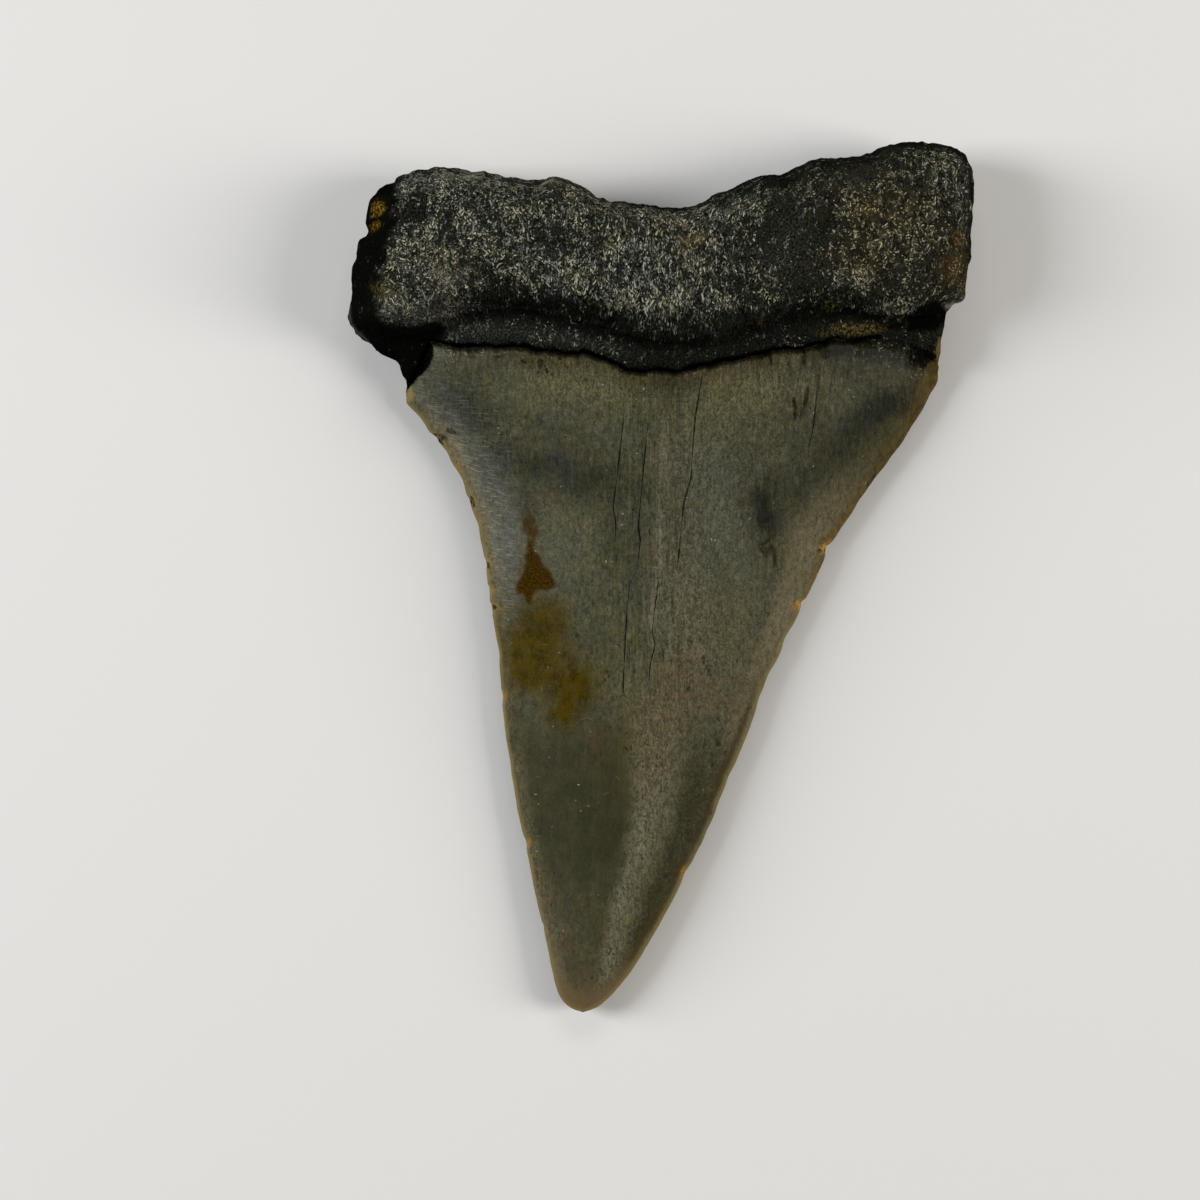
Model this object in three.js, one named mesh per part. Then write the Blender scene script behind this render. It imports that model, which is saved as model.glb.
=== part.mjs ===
// Fossil shark tooth, lying on its flat face (the one that faced the lip in life),
// with the swollen face of the root up. Millimetres, +Z up.
// +Y runs from the tip of the crown to the root, +X across the tooth.
// The origin is at the centre of the tooth's outline, on the resting plane.
import * as THREE from 'three';
import { ParametricGeometry } from 'three/addons/geometries/ParametricGeometry.js';
import { mergeGeometries, mergeVertices } from 'three/addons/utils/BufferGeometryUtils.js';

// ---- driving dimensions -------------------------------------------------
const LENGTH = 56.12;         // tip of the crown to the higher root lobe
const ROOT_SPAN = 40.2;       // across the two root lobes
const ROOT_CENTRE_RISE = 3.2; // how far the middle of the root stands above the lobes
const ROOT_LOBE_TOP = 8.6;    // height of the lobes above the resting plane
const ROOT_WALL_ROUND = 2.4;  // rounding of the root's upper rim
const ROOT_SEAM = 3.8;        // height at which the root's two faces meet
const CROWN_RISE = 6.0;       // crown's ridge above its cutting edges, at the neck
const EDGE_HEIGHT = 1.5;      // cutting edges above the resting plane
const TIP_LIFT = 0.6;         // lift of the crown's underside at the tip
const SHELF = 4.1;            // height of the neck under the lobes
const GROOVE_DEPTH = 0.5;     // soft groove under the root's swelling
const CREVICE_DEPTH = 0.6;    // sharp line where the enamel begins
const COLUMNS = 40;           // facets across

// ---- outline, tip at -Y -------------------------------------------------
// root margin, from one lobe's corner to the other
const TOP = [
  [-18.11, 24.99], [-17.09, 25.7], [-16.32, 26.14], [-15.42, 26.34], [-13.76, 26.53],
  [-12.74, 26.4], [-11.84, 26.21], [-10.94, 26.02], [-9.6, 25.82], [-8.38, 25.57], [-7.1, 25.7],
  [-6.08, 25.57], [-5.31, 25.25], [-4.54, 24.86], [-3.65, 24.42], [-1.98, 24.03], [-0.64, 23.84],
  [0.9, 23.71], [2.3, 23.97], [3.14, 24.48], [4.29, 24.93], [5.89, 25.63], [7.55, 25.95],
  [8.58, 26.34], [9.66, 26.72], [10.69, 26.91], [12.42, 27.1], [13.38, 27.36], [14.27, 27.74],
  [15.3, 28.02], [16.83, 28.06], [17.73, 27.94], [18.62, 27.74], [19.52, 27.17], [19.9, 26.66],
];
// -X side: lobe wall, shoulder, cutting edge, tip
const LEFT = [
  [-18.11, 24.99], [-18.62, 24.35], [-18.88, 23.46], [-19.14, 22.3], [-19.46, 21.41],
  [-19.58, 20.77], [-19.78, 19.74], [-19.84, 18.85], [-19.9, 18.08], [-20.03, 17.31],
  [-20.1, 16.8], [-19.9, 16.22], [-19.58, 15.71], [-18.88, 15.2], [-18.24, 14.62], [-17.28, 14.18],
  [-16.9, 13.66], [-16.64, 13.22], [-16.45, 12.64], [-16.51, 12.06], [-16.51, 11.55],
  [-16.13, 11.04], [-15.55, 10.46], [-14.98, 9.57], [-14.46, 8.93], [-13.89, 8.29], [-13.44, 7.33],
  [-12.8, 6.24], [-12.42, 4.96], [-11.9, 3.68], [-11.58, 2.27], [-11.33, 1.06], [-11.2, 0.03],
  [-11.07, -1.31], [-10.82, -2.66], [-10.56, -4.26], [-10.37, -6.11], [-10.24, -7.97],
  [-9.98, -10.4], [-9.73, -11.94], [-9.41, -14.18], [-9.15, -15.46], [-8.77, -17.12],
  [-8.38, -18.98], [-7.94, -21.09], [-7.42, -23.26], [-6.98, -25.44], [-6.66, -26.66],
  [-6.27, -27.36], [-5.63, -27.87], [-4.99, -28.06],
];
// +X side, the same way
const RIGHT = [
  [19.9, 26.66], [20.1, 26.02], [20.1, 24.42], [20.03, 22.82], [19.84, 21.66], [19.9, 20.83],
  [19.78, 20.26], [19.58, 19.23], [19.52, 18.34], [19.26, 17.76], [18.56, 17.31], [18.3, 16.99],
  [18.24, 16.29], [18.11, 15.26], [18.05, 13.98], [18.05, 13.22], [17.92, 12.7], [17.6, 12.13],
  [17.02, 10.98], [16.45, 10.08], [15.74, 8.93], [14.91, 7.71], [14.08, 6.69], [13.18, 5.41],
  [12.29, 4.06], [11.46, 2.85], [10.88, 1.82], [10.43, 0.8], [9.73, -0.74], [9.22, -1.76],
  [8.77, -2.66], [8.32, -3.49], [7.62, -5.15], [7.04, -6.18], [6.53, -7.65], [5.89, -9.44],
  [5.06, -11.55], [4.22, -13.47], [3.26, -15.84], [2.3, -17.89], [1.41, -19.62], [0.19, -21.98],
  [-1.09, -24.16], [-1.86, -25.38], [-2.56, -26.27], [-3.52, -27.3], [-4.22, -27.81],
  [-4.99, -28.06],
];
// soft groove along the foot of the root's swelling
const NECK_GROOVE = [
  [-18.88, 15.2], [-17.6, 15.2], [-16.3, 15.4], [-15, 15.8], [-13.8, 16.25], [-12.4, 16.7],
  [-10.69, 16.98], [-8.96, 17.06], [-7.42, 16.74], [-5.89, 16.35], [-3.46, 15.78], [-1.15, 15.01],
  [0.32, 14.85], [2.3, 15.01], [4.61, 15.65], [6.53, 16.1], [9.15, 16.93], [11.26, 17.12],
  [13.38, 16.8], [15.62, 16.54], [17.22, 16.67], [18.3, 16.99],
];
// upper limit of the enamel
const ENAMEL_LINE = [
  [-16.51, 12.19], [-15.94, 13.22], [-15.3, 14.24], [-14.72, 15.07], [-13.06, 14.82],
  [-11.84, 14.69], [-10.37, 14.62], [-9.15, 14.62], [-7.55, 14.43], [-6.21, 14.3], [-4.67, 14.05],
  [-3.52, 13.79], [-2.05, 13.22], [-0.83, 13.02], [1.22, 13.02], [2.3, 13.28], [3.39, 13.6],
  [5.44, 13.98], [7.42, 14.43], [9.47, 14.75], [10.69, 15.14], [12.29, 15.14], [13.5, 15.26],
  [15.3, 15.07], [16.9, 14.5], [18.05, 13.73],
];
// line of the crown's ridge: [y, x]
const RIDGE = [
  [-28.06, -4.99], [-24.4, -3.1], [-17.6, -2.0], [-8, -1.9], [0, -1.0], [13, -0.3], [28, 0],
];
// smooth lines just outside the cutting edges, which round the crown: [y, x]
const EDGE_L = [
  [-28.4, -6.2], [-27, -7.0], [-23.3, -7.75], [-19, -8.7], [-14.2, -9.7], [-10.4, -10.25],
  [-6, -10.7], [-2.6, -11.15], [0.5, -11.65], [3.5, -12.35], [6.3, -13.35], [9, -15.0],
  [11.5, -16.9], [14, -18.2], [17, -19.2], [29, -20.5],
];
const EDGE_R = [
  [-28.4, -3.6], [-27, -2.7], [-25.4, -1.45], [-22, 0.6], [-17.9, 2.65], [-13.5, 4.6],
  [-9.4, 6.25], [-6.2, 7.45], [-3.5, 8.7], [0, 10.45], [3, 11.95], [6, 14.0], [9, 16.2],
  [11.5, 17.7], [14, 18.7], [17, 19.3], [29, 20.5],
];

// ---- small helpers ------------------------------------------------------
const TIP_Y = -28.06;
const clamp = (v, lo, hi) => Math.min(hi, Math.max(lo, v));
const mix = (a, b, t) => a + (b - a) * t;
const smooth = (lo, hi, v) => {
  const t = clamp((v - lo) / (hi - lo), 0, 1);
  return t * t * (3 - 2 * t);
};
// value of column `to` where column `from` equals v, along a polyline
function along(line, from, to, v) {
  const up = line[line.length - 1][from] > line[0][from];
  for (let i = 1; i < line.length; i++) {
    const a = line[i - 1], b = line[i];
    if (up ? v <= b[from] : v >= b[from]) {
      const span = b[from] - a[from];
      return mix(a[to], b[to], span === 0 ? 0 : clamp((v - a[from]) / span, 0, 1));
    }
  }
  return line[line.length - 1][to];
}
const yOn = (line, x) => along(line, 0, 1, x);
const xOn = (line, y) => along(line, 1, 0, y);
const ridgeX = (y) => along(RIDGE, 0, 1, y);

const OUTLINE = [...TOP, ...RIGHT.slice(1), ...LEFT.slice(0, -1).reverse()];
function edgeDistance(x, y) {
  let best = Infinity;
  for (let i = 0; i < OUTLINE.length - 1; i++) {
    const [ax, ay] = OUTLINE[i], [bx, by] = OUTLINE[i + 1];
    const dx = bx - ax, dy = by - ay;
    const t = clamp(((x - ax) * dx + (y - ay) * dy) / (dx * dx + dy * dy), 0, 1);
    best = Math.min(best, Math.hypot(x - ax - t * dx, y - ay - t * dy));
  }
  return best;
}
// quarter-ellipse rounding: 0 at the rim, 1 from distance r inwards
const rim = (d, r) => Math.sqrt(Math.max(0, 1 - (1 - clamp(d / r, 0, 1)) ** 2));

// ---- heights ------------------------------------------------------------
// height at which the two faces meet, along the outline
const seam = (y) => mix(EDGE_HEIGHT, ROOT_SEAM, smooth(12.2, 17.5, y))
  + TIP_LIFT * 0.7 * smooth(-12, TIP_Y, y);
// share of the half width, 0 on the ridge and 1 just outside the cutting edge
function share(x, y) {
  const xr = ridgeX(y);
  const xl = along(EDGE_L, 0, 1, y);
  const xx = along(EDGE_R, 0, 1, y);
  return x < xr ? (xr - x) / Math.max(1e-6, xr - xl) : (x - xr) / Math.max(1e-6, xx - xr);
}
function crownFace(x, y, d) {
  const u = clamp(share(x, y), 0, 1);
  const rise = CROWN_RISE * clamp((y - TIP_Y) / 41, 0, 1.05) ** 0.75;
  const power = x < ridgeX(y) ? 2.3 : 2.1;
  const edge = 1 - (1 - clamp(d / 1.3, 0, 1)) ** 2;
  const inner = EDGE_HEIGHT + TIP_LIFT * 0.7 * smooth(-12, TIP_Y, y);
  return mix(seam(Math.min(y, 14)), inner, smooth(0, 2.6, d)) + rise * (1 - u ** power) * edge;
}
function rootFace(x, y) {
  const g = yOn(NECK_GROOVE, clamp(x, -18.88, 18.3));
  const top = yOn(TOP, clamp(x, -18.11, 19.9));
  const v = clamp((y - g) / (top - g), 0, 1);
  let z = ROOT_LOBE_TOP + ROOT_CENTRE_RISE * Math.exp(-(((x + 0.3) / 8.5) ** 2));
  z -= 1.2 * smooth(12, 19.5, Math.abs(x));
  z -= 3.2 * Math.max(0, v - 0.35) ** 2;
  z -= 0.8 * Math.max(0, 0.3 - v) / 0.3;
  return z;
}
function front(x, y) {
  const d = edgeDistance(x, y);
  const a = y - yOn(NECK_GROOVE, clamp(x, -18.88, 18.3));
  const b = y - yOn(ENAMEL_LINE, clamp(x, -16.51, 18.05));
  const crown = crownFace(x, y, d);
  const onRoot = smooth(-0.05, 0.3, b);
  const wall = 1.5 + 0.7 * Math.exp(-(((x + 5) / 6) ** 2)) - 0.3 * smooth(8, 14, x);
  const neck = seam(y) + (Math.max(crown - 0.15, SHELF) - seam(y)) * rim(d, 1.3);
  // the -X lobe ends in a bevelled wall, the other one is rounded over
  const bevel = 1 - (1 - clamp(d / 1.9, 0, 1)) ** 1.35;
  const side = mix(rim(d, ROOT_WALL_ROUND), bevel, smooth(-14.5, -17, x));
  const lobe = seam(y) + (rootFace(x, y) - seam(y)) * side;
  const t = clamp(a / wall, 0, 1);
  const roll = mix(t * t * (3 - 2 * t), Math.sqrt(1 - (1 - t) ** 2), 0.6);
  let z = mix(crown, neck, onRoot);
  z = mix(z, Math.max(lobe, z), roll * onRoot);
  const inside = smooth(0, 1.6, d);
  z -= GROOVE_DEPTH * Math.exp(-((a / 0.5) ** 2)) * inside;
  z -= CREVICE_DEPTH * Math.exp(-((b / 0.17) ** 2)) * inside * smooth(14.6, 12.2, x);
  return z;
}
function back(x, y) {
  const d = edgeDistance(x, y);
  const e = seam(y);
  const u = clamp(share(x, y), 0, 1);
  const lift = TIP_LIFT * smooth(-13, TIP_Y, y);
  const crown = mix(lift, e, clamp((u - 0.5) / 0.47, 0, 1) ** 2);
  const root = e * (1 - rim(d, ROOT_WALL_ROUND));
  return mix(crown, root, smooth(12.4, 15.5, y));
}

// ---- rows of the surface, root margin to tip -----------------------------
const ROOT_ROWS = [0, 0.012, 0.045, 0.1, 0.17, 0.26, 0.37, 0.48, 0.59, 0.69, 0.78, 0.85, 0.91, 0.96];
const NECK_ROWS = [1, 1.3, 1.62, 1.84];
const ENAMEL_ROWS = [2, 2.07, 2.2, 2.45, 2.72];
const CROWN_START = 9.5;
const ROWS = [...ROOT_ROWS, ...NECK_ROWS, ...ENAMEL_ROWS];
for (let i = 0; i < 15; i++) ROWS.push(3 + mix(0, 0.9, i / 14));
for (const t of [0.935, 0.96, 0.977, 0.989, 0.997, 1]) ROWS.push(3 + t);

const cornerL = NECK_GROOVE[0], cornerR = NECK_GROOVE[NECK_GROOVE.length - 1];
const enamelL = ENAMEL_LINE[0], enamelR = ENAMEL_LINE[ENAMEL_LINE.length - 1];
function place(s, t) {
  if (t >= 3) {
    const y = mix(CROWN_START, TIP_Y, t - 3);
    return [mix(xOn(LEFT, y), xOn(RIGHT, y), s), y];
  }
  let yl, yr, y;
  if (t < 1) {
    yl = mix(TOP[0][1], cornerL[1], t);
    yr = mix(TOP[TOP.length - 1][1], cornerR[1], t);
    y = mix(yOn(TOP, mix(TOP[0][0], TOP[TOP.length - 1][0], s)),
      yOn(NECK_GROOVE, mix(cornerL[0], cornerR[0], s)), t);
  } else if (t < 2) {
    yl = mix(cornerL[1], enamelL[1], t - 1);
    yr = mix(cornerR[1], enamelR[1], t - 1);
    y = mix(yOn(NECK_GROOVE, mix(cornerL[0], cornerR[0], s)),
      yOn(ENAMEL_LINE, mix(enamelL[0], enamelR[0], s)), t - 1);
  } else {
    yl = mix(enamelL[1], CROWN_START, t - 2);
    yr = mix(enamelR[1], CROWN_START, t - 2);
    y = mix(yOn(ENAMEL_LINE, mix(enamelL[0], enamelR[0], s)), CROWN_START, t - 2);
  }
  return [mix(xOn(LEFT, yl), xOn(RIGHT, yr), s), y];
}

const SX = ROOT_SPAN / 40.2, SY = LENGTH / 56.12;
function face(height, flip) {
  const rows = ROWS.length - 1;
  return new ParametricGeometry((u, v, target) => {
    const i = Math.round(u * COLUMNS);
    const k = flip ? COLUMNS - i : i;
    const s = 0.5 - 0.5 * Math.cos((Math.PI * k) / COLUMNS);
    const [x, y] = place(s, ROWS[Math.round(v * rows)]);
    target.set(x * SX, y * SY, height(x, y));
  }, COLUMNS, rows);
}
const rimSeam = (fn) => (x, y) => (edgeDistance(x, y) < 1e-6 ? seam(y) : fn(x, y));

// the two faces share their rim, so merging their corners closes the solid
function closed(parts) {
  const geometry = mergeGeometries(parts);
  geometry.deleteAttribute('normal');
  geometry.deleteAttribute('uv');
  const joined = mergeVertices(geometry, 1e-4);
  const index = joined.getIndex().array;
  const kept = [];
  for (let i = 0; i < index.length; i += 3) {
    const [a, b, c] = [index[i], index[i + 1], index[i + 2]];
    if (a !== b && b !== c && c !== a) kept.push(a, b, c);
  }
  joined.setIndex(kept);
  joined.computeVertexNormals();
  return joined;
}

const tooth = new THREE.Mesh(
  closed([face(rimSeam(front), true), face(rimSeam(back), false)]),
  new THREE.MeshStandardMaterial({ color: 0x6f6a56, roughness: 0.55, metalness: 0 }),
);
tooth.name = 'tooth';

const group = new THREE.Group();
group.add(tooth);
export default group;
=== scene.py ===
"""Fossil shark tooth, lying on its flat face, seen from straight above.

One grown piece. The surface is a fine grid of the same form as the CAD solid, with the
grain of the root, the crevice under it, cracks, chips and pits cut into the mesh itself.
Metres in Blender; the tables below are in millimetres.
"""
import math
import bpy
import numpy as np
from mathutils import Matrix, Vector, kdtree


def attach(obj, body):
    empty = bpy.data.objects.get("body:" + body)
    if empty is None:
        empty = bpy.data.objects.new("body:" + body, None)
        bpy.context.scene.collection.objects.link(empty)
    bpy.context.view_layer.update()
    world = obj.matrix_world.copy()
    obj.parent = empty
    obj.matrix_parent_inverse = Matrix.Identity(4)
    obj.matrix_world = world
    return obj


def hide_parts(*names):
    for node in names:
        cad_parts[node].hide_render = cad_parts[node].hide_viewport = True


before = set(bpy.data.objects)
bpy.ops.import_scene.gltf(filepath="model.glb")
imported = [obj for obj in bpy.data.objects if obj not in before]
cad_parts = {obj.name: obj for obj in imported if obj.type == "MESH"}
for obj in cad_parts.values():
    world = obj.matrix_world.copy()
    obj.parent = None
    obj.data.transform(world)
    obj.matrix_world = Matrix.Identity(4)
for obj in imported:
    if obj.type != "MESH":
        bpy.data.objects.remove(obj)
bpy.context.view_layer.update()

# =====================================================================
# outline and guide lines (mm; tip at -Y, root at +Y)
# =====================================================================
TOP = np.array([
    (-18.11, 24.99), (-17.09, 25.7), (-16.32, 26.14), (-15.42, 26.34), (-13.76, 26.53), (-12.74, 26.4), (-11.84, 26.21), (-10.94, 26.02),
    (-9.6, 25.82), (-8.38, 25.57), (-7.1, 25.7), (-6.08, 25.57), (-5.31, 25.25), (-4.54, 24.86), (-3.65, 24.42), (-1.98, 24.03),
    (-0.64, 23.84), (0.9, 23.71), (2.3, 23.97), (3.14, 24.48), (4.29, 24.93), (5.89, 25.63), (7.55, 25.95), (8.58, 26.34),
    (9.66, 26.72), (10.69, 26.91), (12.42, 27.1), (13.38, 27.36), (14.27, 27.74), (15.3, 28), (16.83, 28), (17.73, 27.94),
    (18.62, 27.74), (19.52, 27.17), (19.9, 26.66)])
LEFT = np.array([
    (-18.11, 24.99), (-18.62, 24.35), (-18.88, 23.46), (-19.14, 22.3), (-19.46, 21.41), (-19.58, 20.77), (-19.78, 19.74), (-19.84, 18.85),
    (-19.9, 18.08), (-20.03, 17.31), (-20.1, 16.8), (-19.9, 16.22), (-19.58, 15.71), (-18.88, 15.2), (-18.24, 14.62), (-17.28, 14.18),
    (-16.9, 13.66), (-16.64, 13.22), (-16.45, 12.64), (-16.51, 12.06), (-16.51, 11.55), (-16.13, 11.04), (-15.55, 10.46), (-14.98, 9.57),
    (-14.46, 8.93), (-13.89, 8.29), (-13.44, 7.33), (-12.8, 6.24), (-12.42, 4.96), (-11.9, 3.68), (-11.58, 2.27), (-11.33, 1.06),
    (-11.2, 0.03), (-11.07, -1.31), (-10.82, -2.66), (-10.56, -4.26), (-10.37, -6.11), (-10.24, -7.97), (-9.98, -10.4), (-9.73, -11.94),
    (-9.41, -14.18), (-9.15, -15.46), (-8.77, -17.12), (-8.38, -18.98), (-7.94, -21.09), (-7.42, -23.26), (-6.98, -25.44), (-6.66, -26.66),
    (-6.27, -27.36), (-5.63, -27.87), (-4.99, -28.06)])
RIGHT = np.array([
    (19.9, 26.66), (20.1, 26.02), (20.1, 24.42), (20.03, 22.82), (19.84, 21.66), (19.9, 20.83), (19.78, 20.26), (19.58, 19.23),
    (19.52, 18.34), (19.26, 17.76), (18.56, 17.31), (18.3, 16.99), (18.24, 16.29), (18.11, 15.26), (18.05, 13.98), (18.05, 13.22),
    (17.92, 12.7), (17.6, 12.13), (17.02, 10.98), (16.45, 10.08), (15.74, 8.93), (14.91, 7.71), (14.08, 6.69), (13.18, 5.41),
    (12.29, 4.06), (11.46, 2.85), (10.88, 1.82), (10.43, 0.8), (9.73, -0.74), (9.22, -1.76), (8.77, -2.66), (8.32, -3.49),
    (7.62, -5.15), (7.04, -6.18), (6.53, -7.65), (5.89, -9.44), (5.06, -11.55), (4.22, -13.47), (3.26, -15.84), (2.3, -17.89),
    (1.41, -19.62), (0.19, -21.98), (-1.09, -24.16), (-1.86, -25.38), (-2.56, -26.27), (-3.52, -27.3), (-4.22, -27.81), (-4.99, -28.06)])
GROOVE = np.array([
    (-18.88, 15.2), (-17.6, 15.2), (-16.3, 15.4), (-15.0, 15.8), (-13.8, 16.25), (-12.4, 16.7),
    (-10.69, 16.98), (-8.96, 17.06), (-7.42, 16.74), (-5.89, 16.35), (-3.46, 15.78), (-1.15, 15.01),
    (0.32, 14.85), (2.3, 15.01), (4.61, 15.65), (6.53, 16.1), (9.15, 16.93), (11.26, 17.12),
    (13.38, 16.8), (15.62, 16.54), (17.22, 16.67), (18.3, 16.99)])
ENAMEL = np.array([
    (-16.51, 12.19), (-15.94, 13.22), (-15.3, 14.24), (-14.72, 15.07), (-13.06, 14.82),
    (-11.84, 14.69), (-10.37, 14.62), (-9.15, 14.62), (-7.55, 14.43), (-6.21, 14.3), (-4.67, 14.05),
    (-3.52, 13.79), (-2.05, 13.22), (-0.83, 13.02), (1.22, 13.02), (2.3, 13.28), (3.39, 13.6),
    (5.44, 13.98), (7.42, 14.43), (9.47, 14.75), (10.69, 15.14), (12.29, 15.14), (13.5, 15.26),
    (15.3, 15.07), (16.9, 14.5), (18.05, 13.73)])
RIDGE = np.array([(-28.06, -4.99), (-24.4, -3.1), (-17.6, -2.0), (-8, -1.9), (0, -1.0), (13, -0.3), (28, 0)])

# smooth lines just outside the cutting edges, for the roundness of the crown
EDGE_L = np.array([(-28.4, -6.2), (-27, -7.0), (-23.3, -7.75), (-19, -8.7), (-14.2, -9.7), (-10.4, -10.25),
                   (-6, -10.7), (-2.6, -11.15), (0.5, -11.65), (3.5, -12.35), (6.3, -13.35), (9, -15.0),
                   (11.5, -16.9), (14, -18.2), (17, -19.2), (29, -20.5)])
EDGE_R = np.array([(-28.4, -3.6), (-27, -2.7), (-25.4, -1.45), (-22, 0.6), (-17.9, 2.65), (-13.5, 4.6),
                   (-9.4, 6.25), (-6.2, 7.45), (-3.5, 8.7), (0, 10.45), (3, 11.95), (6, 14.0), (9, 16.2),
                   (11.5, 17.7), (14, 18.7), (17, 19.3), (29, 20.5)])

ROOT_CENTRE_RISE, ROOT_LOBE_TOP, ROOT_WALL_ROUND, ROOT_SEAM = 3.2, 8.6, 2.4, 3.8
CROWN_RISE, EDGE_HEIGHT, TIP_LIFT, SHELF = 6.0, 1.5, 0.6, 4.1
GROOVE_DEPTH, CREVICE_DEPTH = 0.5, 0.6
TIP_Y, CROWN_START = -28.06, 9.5


def mix(a, b, t):
    return a + (b - a) * t


def smooth(lo, hi, v):
    t = np.clip((v - lo) / (hi - lo), 0, 1)
    return t * t * (3 - 2 * t)


def pchip(xs, ys):
    """Shape-keeping cubic through the points, as a function of increasing xs."""
    xs, ys = np.asarray(xs, float), np.asarray(ys, float)
    h = np.diff(xs)
    m = np.diff(ys) / h
    d = np.zeros_like(ys)
    w1, w2 = 2 * h[1:] + h[:-1], h[1:] + 2 * h[:-1]
    same = m[:-1] * m[1:] > 0
    with np.errstate(divide="ignore", invalid="ignore"):
        inner = (w1 + w2) / (w1 / m[:-1] + w2 / m[1:])
    d[1:-1] = np.where(same, inner, 0.0)
    d[0], d[-1] = m[0], m[-1]

    def f(v):
        v = np.clip(v, xs[0], xs[-1])
        i = np.clip(np.searchsorted(xs, v, side="right") - 1, 0, len(h) - 1)
        t = (v - xs[i]) / h[i]
        t2, t3 = t * t, t * t * t
        return ((2 * t3 - 3 * t2 + 1) * ys[i] + (t3 - 2 * t2 + t) * h[i] * d[i]
                + (-2 * t3 + 3 * t2) * ys[i + 1] + (t3 - t2) * h[i] * d[i + 1])
    return f


# ---- lattice noise, the same every run -------------------------------
def _hash(ix, iy, iz, seed):
    h = (ix * 374761393 + iy * 668265263 + iz * 1440662683 + seed * 974634777) & 0xFFFFFFFF
    h = ((h ^ (h >> 13)) * 1274126177) & 0xFFFFFFFF
    h = ((h ^ (h >> 15)) * 2246822519) & 0xFFFFFFFF
    return ((h ^ (h >> 16)) & 0xFFFFFF) / 8388607.5 - 1.0


def noise(p, size, seed=0):
    """Value noise in -1..1; p is (n, 3) or (n, 2) in mm, size the grain in mm."""
    q = np.asarray(p, float) / size
    if q.shape[1] == 2:
        q = np.column_stack([q, np.zeros(len(q))])
    i = np.floor(q).astype(np.int64)
    f = q - i
    f = f * f * f * (f * (f * 6 - 15) + 10)
    out = 0
    for dx in (0, 1):
        wx = f[:, 0] if dx else 1 - f[:, 0]
        for dy in (0, 1):
            wy = f[:, 1] if dy else 1 - f[:, 1]
            for dz in (0, 1):
                wz = f[:, 2] if dz else 1 - f[:, 2]
                out = out + wx * wy * wz * _hash(i[:, 0] + dx, i[:, 1] + dy, i[:, 2] + dz, seed)
    return out


def fbm(p, size, octaves=3, seed=0, gain=0.5):
    total, amp, norm = 0, 1.0, 0
    for o in range(octaves):
        total = total + amp * noise(p, size / 2 ** o, seed + 17 * o)
        norm += amp
        amp *= gain
    return total / norm


# ---- lines as functions, with fine wear -------------------------------
_topf = pchip(TOP[:, 0], TOP[:, 1])
_leftf = pchip(LEFT[::-1, 1], LEFT[::-1, 0])
_rightf = pchip(RIGHT[::-1, 1], RIGHT[::-1, 0])
_groovef = pchip(GROOVE[:, 0], GROOVE[:, 1])
_enamelf = pchip(ENAMEL[:, 0], ENAMEL[:, 1])
_ridgef = pchip(RIDGE[:, 0], RIDGE[:, 1])
_edge_lf = pchip(EDGE_L[:, 0], EDGE_L[:, 1])
_edge_rf = pchip(EDGE_R[:, 0], EDGE_R[:, 1])

# small chips out of the cutting edges: (y, depth, half width along the edge)
CHIPS_L = [(9.12, 0.20, 0.22), (5.02, 0.12, 0.30), (0.99, 0.10, 0.25), (-0.74, 0.12, 0.20),
           (-1.89, 0.26, 0.20), (-7.58, 0.10, 0.35), (-11.74, 0.05, 0.5), (-17.06, 0.12, 0.30),
           (-22.5, 0.05, 0.2), (6.94, 0.10, 0.5), (3.42, 0.07, 0.5), (-4.9, 0.06, 0.4)]
CHIPS_R = [(2.02, 0.26, 0.30), (-1.57, 0.22, 0.22), (-19.1, 0.10, 0.5), (-3.94, 0.08, 0.5),
           (5.02, 0.07, 0.4), (-7.78, 0.07, 0.6), (-12.9, 0.06, 0.5), (7.9, 0.06, 0.4)]


def _wear(y, seed, crown_amp, root_amp):
    p = np.column_stack([np.ravel(y), np.zeros(np.size(y))])
    amp = mix(crown_amp, root_amp, smooth(12, 15, np.ravel(y)))
    amp = amp * smooth(TIP_Y, TIP_Y + 2.5, np.ravel(y))
    return (amp * (0.6 * noise(p, 0.9, seed) + 0.4 * noise(p, 0.4, seed + 5))).reshape(np.shape(y))


def left_x(y):
    x = _leftf(y) + _wear(y, 11, 0.035, 0.07) * smooth(24.99, 24.3, y)
    for c, depth, half in CHIPS_L:
        x = x + depth * np.exp(-((y - c) / half) ** 2)
    return x


def right_x(y):
    x = _rightf(y) + _wear(y, 23, 0.035, 0.07) * smooth(26.66, 26.0, y)
    for c, depth, half in CHIPS_R:
        x = x - depth * np.exp(-((y - c) / half) ** 2)
    return x


def top_y(x):
    p = np.column_stack([np.ravel(x), np.zeros(np.size(x))])
    w = 0.09 * noise(p, 1.1, 31) + 0.05 * noise(p, 0.45, 37)
    w = w * smooth(-18.11, -17.2, np.ravel(x)) * smooth(19.9, 19.1, np.ravel(x))
    return _topf(x) + w.reshape(np.shape(x)) - 0.05


def groove_y(x):
    return _groovef(x)


def enamel_y(x):
    p = np.column_stack([np.ravel(x), np.zeros(np.size(x))])
    w = 0.10 * noise(p, 0.8, 41) + 0.06 * noise(p, 0.35, 43)
    w = w * smooth(-16.51, -15.4, np.ravel(x)) * smooth(18.05, 17.0, np.ravel(x))
    return _enamelf(x) + w.reshape(np.shape(x))


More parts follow.
